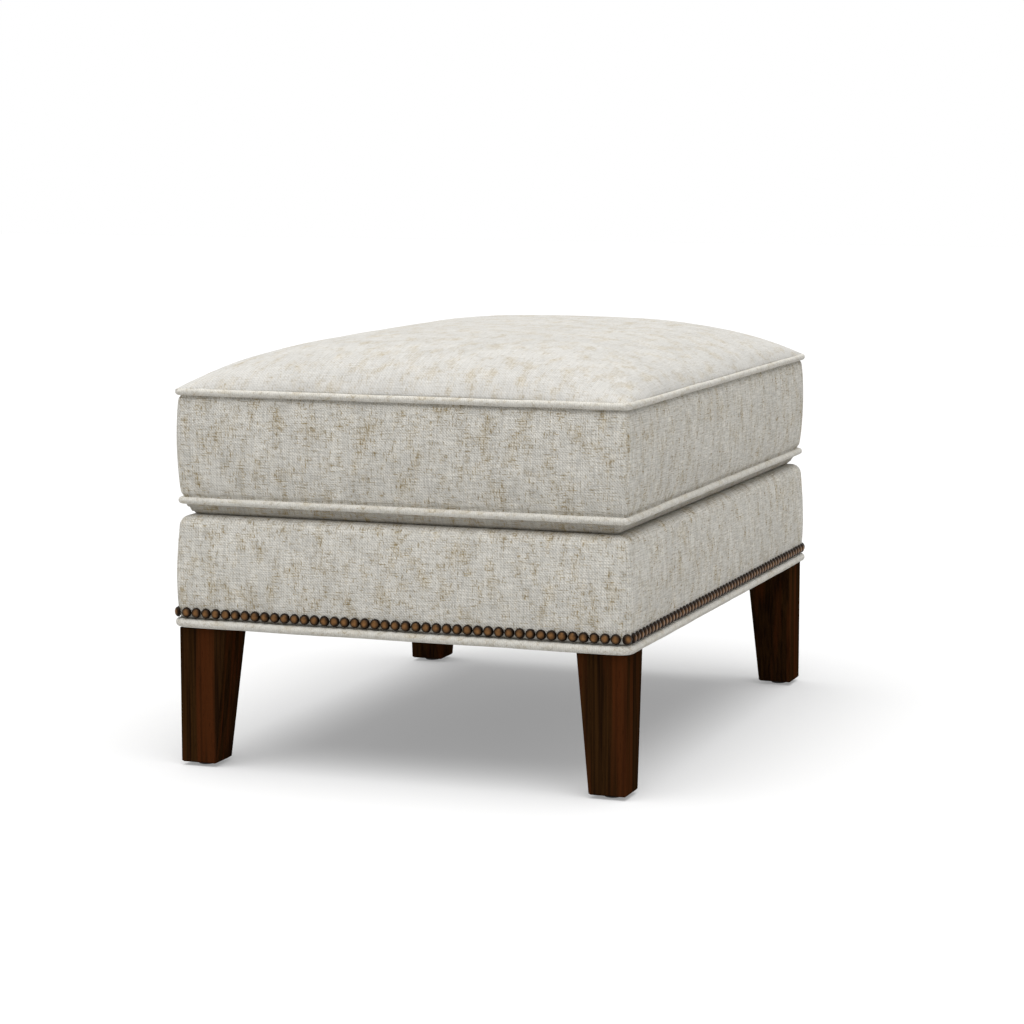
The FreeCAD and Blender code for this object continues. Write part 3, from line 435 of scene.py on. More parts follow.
@dataclass(frozen=True)
class Metal(Finish):
    """Zinc-plated steel or a plated die casting: satin metal with fine drawn marks."""

    colour: str = "B9B7B2"
    dark: str = "8C8A86"
    gloss: float = 0.32

    def draw(self, tree: bpy.types.NodeTree) -> None:
        """Draw the finish.

        Args:
            tree: the material's empty tree.
        """
        place = add_node(tree, "ShaderNodeTexCoord").outputs["Object"]
        clouds = stretched_noise(tree, place, (5.0, 5.0, 5.0), 1.0, 3.0)
        marks = stretched_noise(tree, place, (6.0, 0.4, 0.4), 3.0, 2.0)
        colour = blend_colour(tree, spread(tree, clouds, 0.35, 0.65),
                              linear(self.dark), linear(self.colour))
        self.finish(tree, colour, spread(tree, clouds, 0.3, 0.7, self.gloss, self.gloss + 0.14),
                    marks, 0.01, Metallic=1.0)


@dataclass(frozen=True)
class MouldedPlastic(Finish):
    """Moulded nylon or polyethylene with the fine grain of the mould."""

    colour: str = "1B1A19"
    scuffed: str = "2E2C2A"

    def draw(self, tree: bpy.types.NodeTree) -> None:
        """Draw the finish.

        Args:
            tree: the material's empty tree.
        """
        place = add_node(tree, "ShaderNodeTexCoord").outputs["Object"]
        scuffs = stretched_noise(tree, place, (3.0, 3.0, 3.0), 1.0, 3.0)
        grain = stretched_noise(tree, place, (0.4, 0.4, 0.4), 3.0, 1.0)
        colour = blend_colour(tree, spread(tree, scuffs, 0.45, 0.75),
                              linear(self.colour), linear(self.scuffed))
        self.finish(tree, colour, 0.45, grain, 0.02, Specular_IOR_Level=0.4)


class Palette:
    """Every material of the footstool, built once."""

    def __init__(self) -> None:
        """Build the materials."""
        self.linen = LinenTwill("linen_twill_woven").build()
        self.bias_linen = LinenTwill("linen_twill_cut_on_the_bias", yarn_run=9.0, contrast=0.55,
                                     turn=math.pi / 4).build()
        # The top panel's copy of the linen: a darker ground as painted shade against the stronger
        # light on the top, and a softer pattern.
        self.top_linen_painted_shade = LinenTwill("linen_twill_under_top_light", ground="C4C2BD",
                                      contrast=0.5).build()
        # The underside panel's copy of the linen: a darker ground and tan, painted shade of the
        # tight gap under the cushion.
        self.under_linen_painted_shade = LinenTwill("linen_twill_under_cushion", ground="ABA79E",
                                      tan="978B6E").build()
        self.leg = StainedBeech("beech_espresso_stained").build()
        self.brass = AntiqueBrass("brass_antiqued").build()
        self.glide = MouldedPlastic("polyethylene_glide_moulded").build()
        self.spruce = RawSpruce("spruce_sawn").build()
        self.steel = Metal("steel_zinc_plated").build()
        self.die_cast = Metal("zinc_die_cast_plated", colour="C2BDB2", dark="948E83").build()
        self.deck = PlainCloth("cotton_deck_cloth_woven", colour="CFC9BD", dark="AFA899").build()
        self.dust = PlainCloth("polypropylene_dust_cloth_bonded", colour="1A1A1A", dark="0C0C0C",
                               thread=0.9, run=2.5, sheen=0.0).build()
        self.tape = PlainCloth("polyester_zip_tape_woven", colour="C9C3B6", dark="A9A294",
                               thread=0.8, run=2.4).build()
        self.coil = MouldedPlastic("nylon_zip_coil", colour="C4BDAF", scuffed="D2CCBF").build()
        self.thread = PlainCloth("polyester_sewing_thread", colour="DAD5CA", dark="B4AD9F",
                                 thread=0.4, run=1.5).build()


# Meshes


def raised(flat: np.ndarray, height: float) -> np.ndarray:
    """Give flat points a height.

    Args:
        flat: x and y, in rows or in a grid.
        height: millimetres up.

    Returns:
        X, y and z of each point.
    """
    return np.concatenate([flat, np.full((*flat.shape[:-1], 1), height)], axis=-1)


def bowed(low: float, high: float, middle: float, share: float) -> float:
    """Where a face lies that bows out between two edges.

    Args:
        low: its reach at the lower edge.
        high: its reach at the upper edge.
        middle: its reach half way up.
        share: the place between the edges, from -1 to 1.

    Returns:
        Millimetres out.
    """
    chord = (low + high) / 2
    return chord + (high - low) / 2 * share + (middle - chord) * (1 - share ** 2)


def new_object(name: str, mesh: bpy.types.Mesh) -> bpy.types.Object:
    """Link a mesh to the scene.

    Args:
        name: the piece's name.
        mesh: its mesh, in place.

    Returns:
        The object.
    """
    made = bpy.data.objects.new(name, mesh)
    bpy.context.scene.collection.objects.link(made)
    return made


def mesh_of(
    name: str,
    points: np.ndarray,
    faces: Sequence[Sequence[int]],
    corners_uv: np.ndarray | None = None,
) -> bpy.types.Mesh:
    """Make a smooth mesh from points in millimetres.

    Args:
        name: the mesh's name.
        points: one row of x, y and z for each vertex.
        faces: vertex numbers, counter-clockwise seen from outside.
        corners_uv: millimetres across and up the cloth, for each face corner in turn.

    Returns:
        The mesh, in metres.
    """
    mesh = bpy.data.meshes.new(name)
    mesh.from_pydata((np.asarray(points) * MM).tolist(), [], [list(face) for face in faces])
    if corners_uv is not None:
        layer = mesh.uv_layers.new(name="UVMap")
        layer.data.foreach_set("uv", (np.asarray(corners_uv) * MM).astype(np.float32).ravel())
    mesh.polygons.foreach_set("use_smooth", [True] * len(mesh.polygons))
    mesh.update()
    return mesh


def grid_faces(rows: int, columns: int, closed: bool = False) -> np.ndarray:
    """Quads over a grid of points numbered row by row.

    Args:
        rows: points up.
        columns: points along.
        closed: True where the last column joins the first.

    Returns:
        One row of four vertex numbers for each quad.
    """
    count = columns if closed else columns - 1
    along = np.arange(count)
    after = (along + 1) % columns
    quads = [np.stack([along + row * columns, after + row * columns,
                       after + (row + 1) * columns, along + (row + 1) * columns], axis=1)
             for row in range(rows - 1)]
    return np.concatenate(quads)


def sheet_object(
    name: str,
    points: np.ndarray,
    cloth: np.ndarray,
    thickness: float,
    levels: int = 0,
) -> bpy.types.Object:
    """Make a piece of cloth with thickness from a grid of outer points.

    Args:
        name: the piece's name.
        points: rows by columns by x, y and z, columns running left to right seen from outside.
        cloth: rows by columns by millimetres across and up the cloth.
        thickness: millimetres that the cloth is thick, inwards.
        levels: rounds of subdivision.

    Returns:
        The object.
    """
    rows, columns = points.shape[:2]
    faces = grid_faces(rows, columns)
    flat_cloth = cloth.reshape(-1, 2)
    mesh = mesh_of(name, points.reshape(-1, 3), faces, flat_cloth[faces.ravel()])
    made = new_object(name, mesh)
    if levels:
        smooth = made.modifiers.new("Subdivision", "SUBSURF")
        smooth.levels = levels
        smooth.render_levels = levels
    shell = made.modifiers.new("Thickness", "SOLIDIFY")
    shell.thickness = thickness * MM
    shell.offset = -1.0
    return made


def dress(
    piece: bpy.types.Object, material: bpy.types.Material, body: Body, slot: str,
    *nodes: str,
) -> bpy.types.Object:
    """Give a piece its material and body, and hide the solids that it stands for.

    Args:
        piece: the piece.
        material: its material.
        body: the body that it rides on.
        slot: the record's material slot, not used.
        nodes: the solids that it stands for.

    Returns:
        The piece.
    """
    if not piece.data.materials:
        piece.data.materials.append(material)
    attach(piece, body.value)
    if nodes:
        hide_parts(*nodes)
    LOG.info("%s rides on %s, %d faces", piece.name, body.value, len(piece.data.polygons))
    return piece


@dataclass(frozen=True)
class Plan:
    """A rounded rectangle seen from above, as columns that every level shares."""

    half_width: float
    half_length: float
    corner: float
    cell: float = 6.0
    arc_cells: int = 4
    least_radius: float = 0.4

    def shares(self, side: Side) -> np.ndarray:
        """Where the straight columns of a side lie.

        Args:
            side: the side.

        Returns:
            Shares of the straight run from -1 to 1, closer together near the ends.
        """
        run = (self.half_length if side in (Side.RIGHT, Side.LEFT) else self.half_width)
        count = int(round(2 * (run - self.corner) / self.cell))
        even = np.linspace(-1, 1, count + 1)
        return 0.5 * even + 0.5 * np.sin(even * math.pi / 2)

    def columns(self, side: Side) -> tuple[np.ndarray, np.ndarray]:
        """The columns of a side, from the middle of one corner to the middle of the next.

        Args:
            side: the side.

        Returns:
            The straight share and the angle into the corner's arc of each column.
        """
        steps = np.arange(1, self.arc_cells + 1) / self.arc_cells
        angles = np.arcsin(steps / math.sqrt(2))
        straight = self.shares(side)
        share = np.concatenate([[-1] * self.arc_cells, straight, [1] * self.arc_cells])
        angle = np.concatenate([-angles[::-1], np.zeros(len(straight)), angles])
        return share, angle

    def side_line(self, side: Side, reach: float) -> tuple[np.ndarray, np.ndarray, np.ndarray]:
        """One side's points at a distance out from the plan's straight faces.

        Args:
            side: the side.
            reach: millimetres out, or in where negative.

        Returns:
            X and Y of each column, its outward direction, and its place along the side.
        """
        lengthwise = side in (Side.RIGHT, Side.LEFT)
        depth = self.half_width if lengthwise else self.half_length
        run = self.half_length if lengthwise else self.half_width
        share, angle = self.columns(side)
        radius = max(self.corner + reach, self.least_radius)
        flat_run = run + reach - radius
        outward = depth + reach - radius + radius * np.cos(angle)
        tangent = share * flat_run + radius * np.sin(angle)
        along = share * flat_run + radius * angle
        turn = side.value * math.pi / 2
        cosine, sine = round(math.cos(turn)), round(math.sin(turn))
        points = np.stack([outward * cosine - tangent * sine,
                           outward * sine + tangent * cosine], axis=1)
        headings = np.stack([np.cos(turn + angle), np.sin(turn + angle)], axis=1)
        return points, headings, along

    def panel(
        self, side: Side, profile: Sequence[tuple[float, float]]
    ) -> tuple[np.ndarray, np.ndarray, np.ndarray]:
        """One side swept up a profile.

        Args:
            side: the side.
            profile: reach and height of each level, from the lowest up.

        Returns:
            Points, cloth coordinates and outward directions, each rows by columns.
        """
        points, cloth, headings = [], [], []
        up = 0.0
        before = profile[0]
        for reach, height in profile:
            up += math.hypot(reach - before[0], height - before[1])
            before = (reach, height)
            line, heading, along = self.side_line(side, reach)
            points.append(raised(line, height))
            cloth.append(np.stack([along, np.full(len(line), up)], axis=1))
            headings.append(raised(heading, 0.0))
        return np.array(points), np.array(cloth), np.array(headings)

    def ring(self, reach: float, height: float) -> np.ndarray:
        """A closed level line round the plan.

        Args:
            reach: millimetres out from the straight faces.
            height: millimetres up.

        Returns:
            One row of x, y and z for each column, counter-clockwise, none twice.
        """
        parts = [self.side_line(side, reach)[0][:-1] for side in Side]
        return raised(np.concatenate(parts), height)

    def corner_seam(self, side: Side, width: float) -> np.ndarray:
        """How strongly the upright seams at a side's two ends draw each column in.

        Args:
            side: the side.
            width: radians from the seam to where its pull has mostly died out.

        Returns:
            A share from 0 to 1 for each column.
        """
        _, angle = self.columns(side)
        return np.exp(-((math.pi / 4 - np.abs(angle)) / width) ** 2)


def unevenness(points: np.ndarray, *swells: tuple[float, float, float]) -> np.ndarray:
    """Smooth noise at each point, the sum of one layer or more.

    Args:
        points: x, y and z in millimetres, in rows or in a grid.
        swells: each layer's millimetres across one swell, its seed and its most height.

    Returns:
        Millimetres in or out for each point.
    """
    total = np.zeros(points.shape[:-1])
    for size, seed, most in swells:
        flat = points.reshape(-1, 3) / size + seed
        values = [noise.noise(Vector(point)) for point in flat]
        total += np.array(values).reshape(total.shape) * most
    return total


@dataclass
class Inflation:
    """Blender's cloth, blown up a little from inside while its seams are held."""

    pressure: float = 0.4
    frames: int = 20
    stiffness: float = 40.0
    bending: float = 2.0
    point_mass: float = 0.3
    steps: int = 6
    most: float = 1.2

    def run(self, name: str, points: np.ndarray, faces: Sequence, held: np.ndarray) -> np.ndarray:
        """Simulate the cloth.

        Args:
            name: a name for the log.
            points: x, y and z in millimetres, one row each.
            faces: vertex numbers.
            held: numbers of the vertices on the seams.

        Returns:
            The points where the cloth comes to rest, none further than the most allowed.
        """
        piece = new_object(name, mesh_of(name, points, faces))
        group = piece.vertex_groups.new(name="seams")
        group.add([int(index) for index in held], 1.0, "REPLACE")
        cloth = piece.modifiers.new("Cloth", "CLOTH")
        rules = cloth.settings
        rules.quality = self.steps
        rules.mass = self.point_mass
        rules.tension_stiffness = self.stiffness
        rules.compression_stiffness = self.stiffness
        rules.shear_stiffness = self.stiffness / 2
        rules.bending_stiffness = self.bending
        rules.vertex_group_mass = "seams"
        rules.use_pressure = True
        rules.uniform_pressure_force = self.pressure
        rules.effector_weights.gravity = 0.0
        cloth.collision_settings.use_collision = False
        cloth.point_cache.frame_start = 1
        cloth.point_cache.frame_end = self.frames
        scene = bpy.context.scene
        for frame_number in range(1, self.frames + 1):
            scene.frame_set(frame_number)
        shape = piece.evaluated_get(bpy.context.evaluated_depsgraph_get()).data
        after = np.zeros(len(shape.vertices) * 3, np.float32)
        shape.vertices.foreach_get("co", after)
        after = after.reshape(-1, 3) / MM
        bpy.data.objects.remove(piece)
        scene.frame_set(1)
        moved = after - points
        length = np.linalg.norm(moved, axis=1)
        LOG.info("%s: cloth moved %.1f mm on average, %.1f mm at most", name, length.mean(),
                 length.max())
        limit = np.minimum(1.0, self.most / np.maximum(length, 1e-9))
        return points + moved * limit[:, None]


# Repeated small pieces


class RowTree:
    """A geometry node tree that sets copies of one shape along rows."""

    def __init__(self, name: str) -> None:
        """Build the tree.

        Args:
            name: the tree's name.
        """
        tree = bpy.data.node_groups.new(name, "GeometryNodeTree")
        sockets = [
            ("Rows", "NodeSocketGeometry"), ("Shape", "NodeSocketObject"),
            ("Finish", "NodeSocketMaterial"), ("Tilt", "NodeSocketFloat"),
            ("Size Spread", "NodeSocketFloat"), ("Seed", "NodeSocketInt"),
            ("Points Left Out At End", "NodeSocketInt"),
        ]
        self.identifiers: dict[str, str] = {}
        for label, kind in sockets:
            made = tree.interface.new_socket(label, in_out="INPUT", socket_type=kind)
            self.identifiers[label] = made.identifier
        tree.interface.new_socket("Result", in_out="OUTPUT", socket_type="NodeSocketGeometry")
        given = add_node(tree, "NodeGroupInput").outputs
        gap, outward = (
            add_node(tree, "GeometryNodeInputNamedAttribute", {"Name": label},
                     data_type=kind).outputs["Attribute"]
            for label, kind in (("gap", "FLOAT"), ("outward", "FLOAT_VECTOR")))
        length = add_node(tree, "GeometryNodeSplineLength").outputs["Length"]
        gaps = combine(tree, "ROUND", combine(tree, "DIVIDE", length, gap), 0.0)
        count = combine(tree, "ADD", gaps, 1.0)
        curve = add_node(tree, "GeometryNodeMeshToCurve", {"Mesh": given["Rows"]})
        spaced = add_node(tree, "GeometryNodeResampleCurve", {
            "Curve": curve.outputs["Curve"], "Count": count}, mode="COUNT")
        last = add_node(tree, "GeometryNodeCurveEndpointSelection", {
            "Start Size": 0, "End Size": given["Points Left Out At End"]})
        kept = add_node(tree, "FunctionNodeBooleanMath", {0: last.outputs["Selection"]},
                        operation="NOT")
        tangent = add_node(tree, "GeometryNodeInputTangent").outputs["Tangent"]
        facing = add_node(tree, "FunctionNodeAxesToRotation", {
            "Primary Axis": outward, "Secondary Axis": tangent},
            primary_axis="Z", secondary_axis="X")
        shape = add_node(tree, "GeometryNodeObjectInfo", {"Object": given["Shape"]},
                         transform_space="ORIGINAL")
        copies = add_node(tree, "GeometryNodeInstanceOnPoints", {
            "Points": spaced.outputs["Curve"], "Selection": kept.outputs["Boolean"],
            "Instance": shape.outputs["Geometry"], "Rotation": facing.outputs["Rotation"]})
        low, high = (
            add_node(tree, "ShaderNodeVectorMath", {0: (sign, sign, 0), 3: given["Tilt"]},
                     operation="SCALE").outputs["Vector"] for sign in (-1, 1))
        lean = add_node(tree, "FunctionNodeRandomValue", {
            0: low, 1: high, "Seed": given["Seed"]}, data_type="FLOAT_VECTOR")
        leaned = add_node(tree, "GeometryNodeRotateInstances", {
            "Instances": copies.outputs["Instances"], "Rotation": lean.outputs[0]})
        small, large = (combine(tree, how, 1.0, given["Size Spread"])
                        for how in ("SUBTRACT", "ADD"))
        factor = add_node(tree, "FunctionNodeRandomValue", {
            2: small, 3: large, "Seed": given["Seed"]}, data_type="FLOAT")
        sized = add_node(tree, "GeometryNodeScaleInstances", {
            "Instances": leaned.outputs["Instances"], "Scale": factor.outputs[1]})
        real = add_node(tree, "GeometryNodeRealizeInstances", {
            "Geometry": sized.outputs["Instances"]})
        coated = add_node(tree, "GeometryNodeSetMaterial", {
            "Geometry": real.outputs["Geometry"], "Material": given["Finish"]})
        add_node(tree, "NodeGroupOutput", {"Result": coated.outputs["Geometry"]})
        self.tree = tree

    def lay(
        self,
        name: str,
        rows: Sequence[tuple[np.ndarray, np.ndarray, float]],
        shape: bpy.types.Mesh,
        material: bpy.types.Material,
        tilt: float = 0.0,
        size_spread: float = 0.0,
        seed: int = 1,
        left_out: int = 0,
    ) -> bpy.types.Object:
        """Set copies of a shape along rows and make the result one plain mesh.

        Args:
            name: the piece's name.
            rows: for each row its points in millimetres, outward directions and spacing.
            shape: the shape, standing on its origin with +Z outwards and +X along the row.
            material: the material of every copy.
            tilt: the most that a copy leans, in radians.
            size_spread: the share by which copies differ in size.
            seed: the seed of both.
            left_out: how many points at each row's end get no copy.

        Returns:
            The piece.
        """
        host = bpy.data.meshes.new(name + "_rows")
        points = np.concatenate([row[0] for row in rows]) * MM
        edges = []
        start = 0
        for line, _, _ in rows:
            edges += [(start + index, start + index + 1) for index in range(len(line) - 1)]
            start += len(line)
        host.from_pydata(points.tolist(), edges, [])
        outward = host.attributes.new("outward", "FLOAT_VECTOR", "POINT")
        outward.data.foreach_set("vector", np.concatenate([row[1] for row in rows])
                                 .astype(np.float32).ravel())
        gap = host.attributes.new("gap", "FLOAT", "POINT")
        gap.data.foreach_set("value", np.concatenate(
            [np.full(len(line), spacing * MM) for line, _, spacing in rows]).astype(np.float32))
        holder = new_object(name + "_rows", host)
        unit = new_object(name + "_shape", shape)
        repeat = holder.modifiers.new("Rows", "NODES")
        repeat.node_group = self.tree
        values = {"Shape": unit, "Finish": material, "Tilt": tilt, "Size Spread": size_spread,
                  "Seed": seed, "Points Left Out At End": left_out}
        for label, value in values.items():
            repeat[self.identifiers[label]] = value
        bpy.context.view_layer.update()
        depsgraph = bpy.context.evaluated_depsgraph_get()
        mesh = bpy.data.meshes.new_from_object(holder.evaluated_get(depsgraph))
        mesh.name = name
        mesh.polygons.foreach_set("use_smooth", [True] * len(mesh.polygons))
        bpy.data.objects.remove(holder)
        bpy.data.objects.remove(unit)
        return new_object(name, mesh)


def turned_shape(
    name: str, outline: Sequence[tuple[float, float]], segments: int
) -> bpy.types.Mesh:
    """A shape turned about +Z, with its share of the full height as an attribute.

    Args:
        name: the mesh's name.
        outline: radius and height in millimetres, from the rim's foot to the middle of the top.
        segments: faces round.

    Returns:
        The closed mesh.
    """
    top = max(height for _, height in outline)
    points, faces = [], []
    for radius, height in outline[:-1]:
        for step in range(segments):
            angle = 2 * math.pi * step / segments
            points.append((radius * math.cos(angle), radius * math.sin(angle), height))
    rings = len(outline) - 1
    faces += grid_faces(rings, segments, closed=True).tolist()
    foot = len(points)
    points.append((0.0, 0.0, outline[0][1]))
    points.append((0.0, 0.0, outline[-1][1]))
    for step in range(segments):
        after = (step + 1) % segments
        faces.append([after, step, foot])
        faces.append([step + (rings - 1) * segments, after + (rings - 1) * segments, foot + 1])
    mesh = mesh_of(name, np.array(points), faces)
    rise = mesh.attributes.new("rise", "FLOAT", "POINT")
    rise.data.foreach_set("value", [point[2] / top for point in points])
    return mesh


def rod_shape(
    name: str, path: Sequence[tuple[float, float]], width: float, segments: int = 6
) -> bpy.types.Mesh:
    """A bent rod in the X-Z plane, such as a stitch or a staple.

    Args:
        name: the mesh's name.
        path: x and z in millimetres of each point along it.
        width: the rod's diameter.
        segments: faces round.

    Returns:
        The closed mesh.
    """
    points, faces = [], []
    for index, (across, up) in enumerate(path):
        low = path[max(index - 1, 0)]
        high = path[min(index + 1, len(path) - 1)]
        heading = math.atan2(high[1] - low[1], high[0] - low[0])
        for step in range(segments):
            angle = 2 * math.pi * step / segments
            side = width / 2 * math.cos(angle)
            lift = width / 2 * math.sin(angle)
            points.append((across - lift * math.sin(heading), side,
                           up + lift * math.cos(heading)))
    for row in grid_faces(len(path), segments, closed=True).tolist():
        faces.append(row[::-1])
    faces.append(list(range(segments)))
    faces.append(list(range(len(points) - segments, len(points)))[::-1])
    mesh = mesh_of(name, np.array(points), faces)
    shell = bmesh.new()
    shell.from_mesh(mesh)
    bmesh.ops.recalc_face_normals(shell, faces=shell.faces)
    shell.to_mesh(mesh)
    shell.free()
    return mesh


# Welts


@dataclass
class Welt:
    """A cord covered with bias-cut cloth, laid once round the plan."""

    name: str
    node: str
    plan: Plan
    reach: float
    height: float
    diameter: float
    seed: float
    body: Body
    wander: float = 0.45
    lift_run: float = 55.0
    push_run: float = 42.0
    swell: float = 0.16
    swell_run: float = 16.0
    segments: int = 18
    step: float = 4.0

    def centre_line(self) -> tuple[np.ndarray, np.ndarray]:
        """The cord's middle.

        Returns:
            Points and outward directions, evenly enough spaced, none twice.
        """
        points, headings = [], []
        fine = Plan(self.plan.half_width, self.plan.half_length, self.plan.corner,
                    cell=self.step, arc_cells=6)
        for side in Side:
            line, heading, _ = fine.side_line(side, self.reach)
            points.append(line[:-1])
            headings.append(heading[:-1])
        return raised(np.concatenate(points), self.height), raised(np.concatenate(headings), 0.0)

    def build(self, material: bpy.types.Material) -> bpy.types.Object:
        """Make the cord.

        Args:
            material: its cloth.

        Returns:
            The piece.
        """
        centre, heading = self.centre_line()
        count = len(centre)
        lift = unevenness(centre, (self.lift_run, self.seed, self.wander))
        push = unevenness(centre, (self.push_run, self.seed + 9, self.wander / 2))
        centre = centre + heading * push[:, None]
        centre[:, 2] += lift
        radius = self.diameter / 2 + unevenness(
            centre, (self.swell_run, self.seed + 4, self.swell))
        angles = np.linspace(0, 2 * math.pi, self.segments, endpoint=False)
        points = np.array([
            centre[index] + radius[index] * (
                heading[index] * math.cos(angle) + np.array([0, 0, math.sin(angle)]))
            for angle in angles for index in range(count)])
        faces, cloth = [], []
        steps = np.linalg.norm(np.roll(centre, -1, axis=0) - centre, axis=1)
        along = np.concatenate([[0.0], np.cumsum(steps)])
        around = self.diameter / 2 * 2 * math.pi / self.segments
        for ring in range(self.segments):
            above = (ring + 1) % self.segments
            for index in range(count):
                after = (index + 1) % count
                faces.append([index + ring * count, after + ring * count,
                              after + above * count, index + above * count])
                low, high = ring * around, (ring + 1) * around
                cloth += [(along[index], low), (along[index + 1], low),
                          (along[index + 1], high), (along[index], high)]
        piece = new_object(self.name, mesh_of(self.name, points, faces, np.array(cloth)))
        return dress(piece, material, self.body, "cover_fabric", self.node)


# Base


@dataclass
class BaseCovers:
    """The four sewn panels round the base, drawn tight over foam."""

    plan: Plan = field(default_factory=lambda: Plan(254.0, 354.0, 6.0, cell=6.0))
    bottom: float = 152.6
    nip_reach: float = -2.4
    nip_top: float = 163.0
    low_reach: float = 2.4
    low_height: float = 166.0
    bulge: float = 4.0
    edge_reach: float = 0.6
    edge_radius: float = 13.0
    deck: float = 275.0
    lip: float = 80.0
    thickness: float = 1.5
    nail_level: float = 168.9
    nail_pull: float = 0.7
    nail_pull_run: float = 6.0
    corner_seam_depth: float = 0.7
    corner_seam_angle: float = 0.14
    # Reach and rise of the turn under the frame, and each swell's size, seed and height.
    under_turn: tuple[tuple[float, float], ...] = (
        (-20.0, 0.0), (-12.0, 0.0), (-5.5, 0.1), (-3.2, 0.8))
    swells: tuple[tuple[float, float, float], ...] = ((62.0, 3.0, 0.7), (24.0, 8.0, 0.22))

    def profile(self) -> list[tuple[float, float]]:
        """The cover's section, from the under-turn up over the edge to the lip.

        Returns:
            Reach and height of each level.
        """
        levels = [(reach, self.bottom + up) for reach, up in self.under_turn]
        levels += [(self.nip_reach, self.bottom + 3.0), (self.nip_reach, self.nip_top - 3.0)]
        rise = self.low_height - self.nip_top
        for share in (0.0, 0.35, 0.7, 1.0):
            bend = math.sin(share * math.pi / 2)
            levels.append((self.nip_reach + (self.low_reach - self.nip_reach) * bend,
                           self.nip_top + rise * share))
        edge_height = self.deck - self.edge_radius
        middle = (self.low_height + edge_height) / 2
        for height in np.linspace(self.low_height, edge_height, 19)[1:]:
            share = (height - middle) / (edge_height - middle)
            levels.append((bowed(self.low_reach, self.edge_reach, self.bulge, share),
                           float(height)))
        across = self.edge_radius + self.edge_reach
        for angle in np.linspace(0, math.pi / 2, 8)[1:]:
            levels.append((-self.edge_radius + across * math.cos(angle),
                           edge_height + self.edge_radius * math.sin(angle)))
        for reach in np.linspace(-self.edge_radius, -self.lip, 12)[1:]:
            levels.append((float(reach), self.deck))
        return levels

    def drape(self, points: np.ndarray, headings: np.ndarray, side: Side) -> np.ndarray:
        """Add the soft unevenness, the pull of the nails and the corner seams.

        Args:
            points: the panel's smooth points.
            headings: its outward directions.
            side: the panel's side.

        Returns:
            The finished points.
        """
        height = points[..., 2]
        face = np.clip((height - self.low_height) / 12, 0, 1)
        face *= np.clip((self.deck - 1 - height) / 10, 0, 1)
        swell = unevenness(points, *self.swells)
        tuck = np.exp(-((height - self.nail_level) / self.nail_pull_run) ** 2)
        seam = self.plan.corner_seam(side, self.corner_seam_angle)
        push = (swell * face - self.nail_pull * tuck
                - self.corner_seam_depth * seam[None, :] * face)
        return points + headings * push[..., None]

    def build(self, palette: Palette) -> None:
        """Make the four panels.

        Args:
            palette: the materials.
        """
        profile = self.profile()
        for side in Side:
            points, cloth, headings = self.plan.panel(side, profile)
            points = self.drape(points, headings, side)
            cloth[..., 0] += 1000.0 * (side.value + 1)
            name = side.name.lower()
            piece = sheet_object("cover_%s_cloth" % name, points, cloth, self.thickness, 1)
            dress(piece, palette.linen, Body.BASE, "cover_fabric",
                  "cover_" + name, "pad_" + name)


@dataclass
class BaseTrim:
    """The base's welt and its row of nails."""

    plan: Plan = field(default_factory=lambda: Plan(254.0, 354.0, 6.0))
    welt_plan: Plan = field(default_factory=lambda: Plan(254.0, 354.0, 9.0))
    welt_reach: float = 2.4
    welt_level: float = 157.7
    welt_diameter: float = 9.5
    nail_diameter: float = 11.5
    nail_dome: float = 4.4
    nail_rim: float = 0.5
    nail_reach: float = 3.1
    nail_level: float = 169.5
    short_gaps: int = 44
    long_gaps: int = 59

    def head(self) -> bpy.types.Mesh:
        """One domed head.

        Returns:
            The head's mesh, open at no side.
        """
        radius = self.nail_diameter / 2
        outline = [(radius * 0.96, 0.0), (radius, self.nail_rim)]
        for angle in (25, 48, 70):
            turn = math.radians(angle)
            outline.append((radius * math.cos(turn),
                            self.nail_rim + (self.nail_dome - self.nail_rim) * math.sin(turn)))
        outline.append((0.0, self.nail_dome))
        return turned_shape("nail_head", outline, 12)

    def build(self, palette: Palette, rows: RowTree) -> None:
        """Make the welt and the nails.

        Args:
            palette: the materials.
            rows: the tree that repeats shapes.
        """
        Welt("base_welt_cord", "base_welt", self.welt_plan, self.welt_reach, self.welt_level,
             self.welt_diameter, 21.0, Body.BASE).build(palette.bias_linen)
        lines = []
        for side in Side:
            flat, heading, along = self.plan.side_line(side, self.nail_reach)
            gaps = self.long_gaps if side in (Side.RIGHT, Side.LEFT) else self.short_gaps
            lines.append((raised(flat, self.nail_level), raised(heading, 0.0),
                          (along[-1] - along[0]) / gaps))
        piece = rows.lay("nail_heads", lines, self.head(), palette.brass, tilt=0.05,
                         size_spread=0.015, seed=7, left_out=1)
        dress(piece, palette.brass, Body.BASE, "nail_brass", "nails")


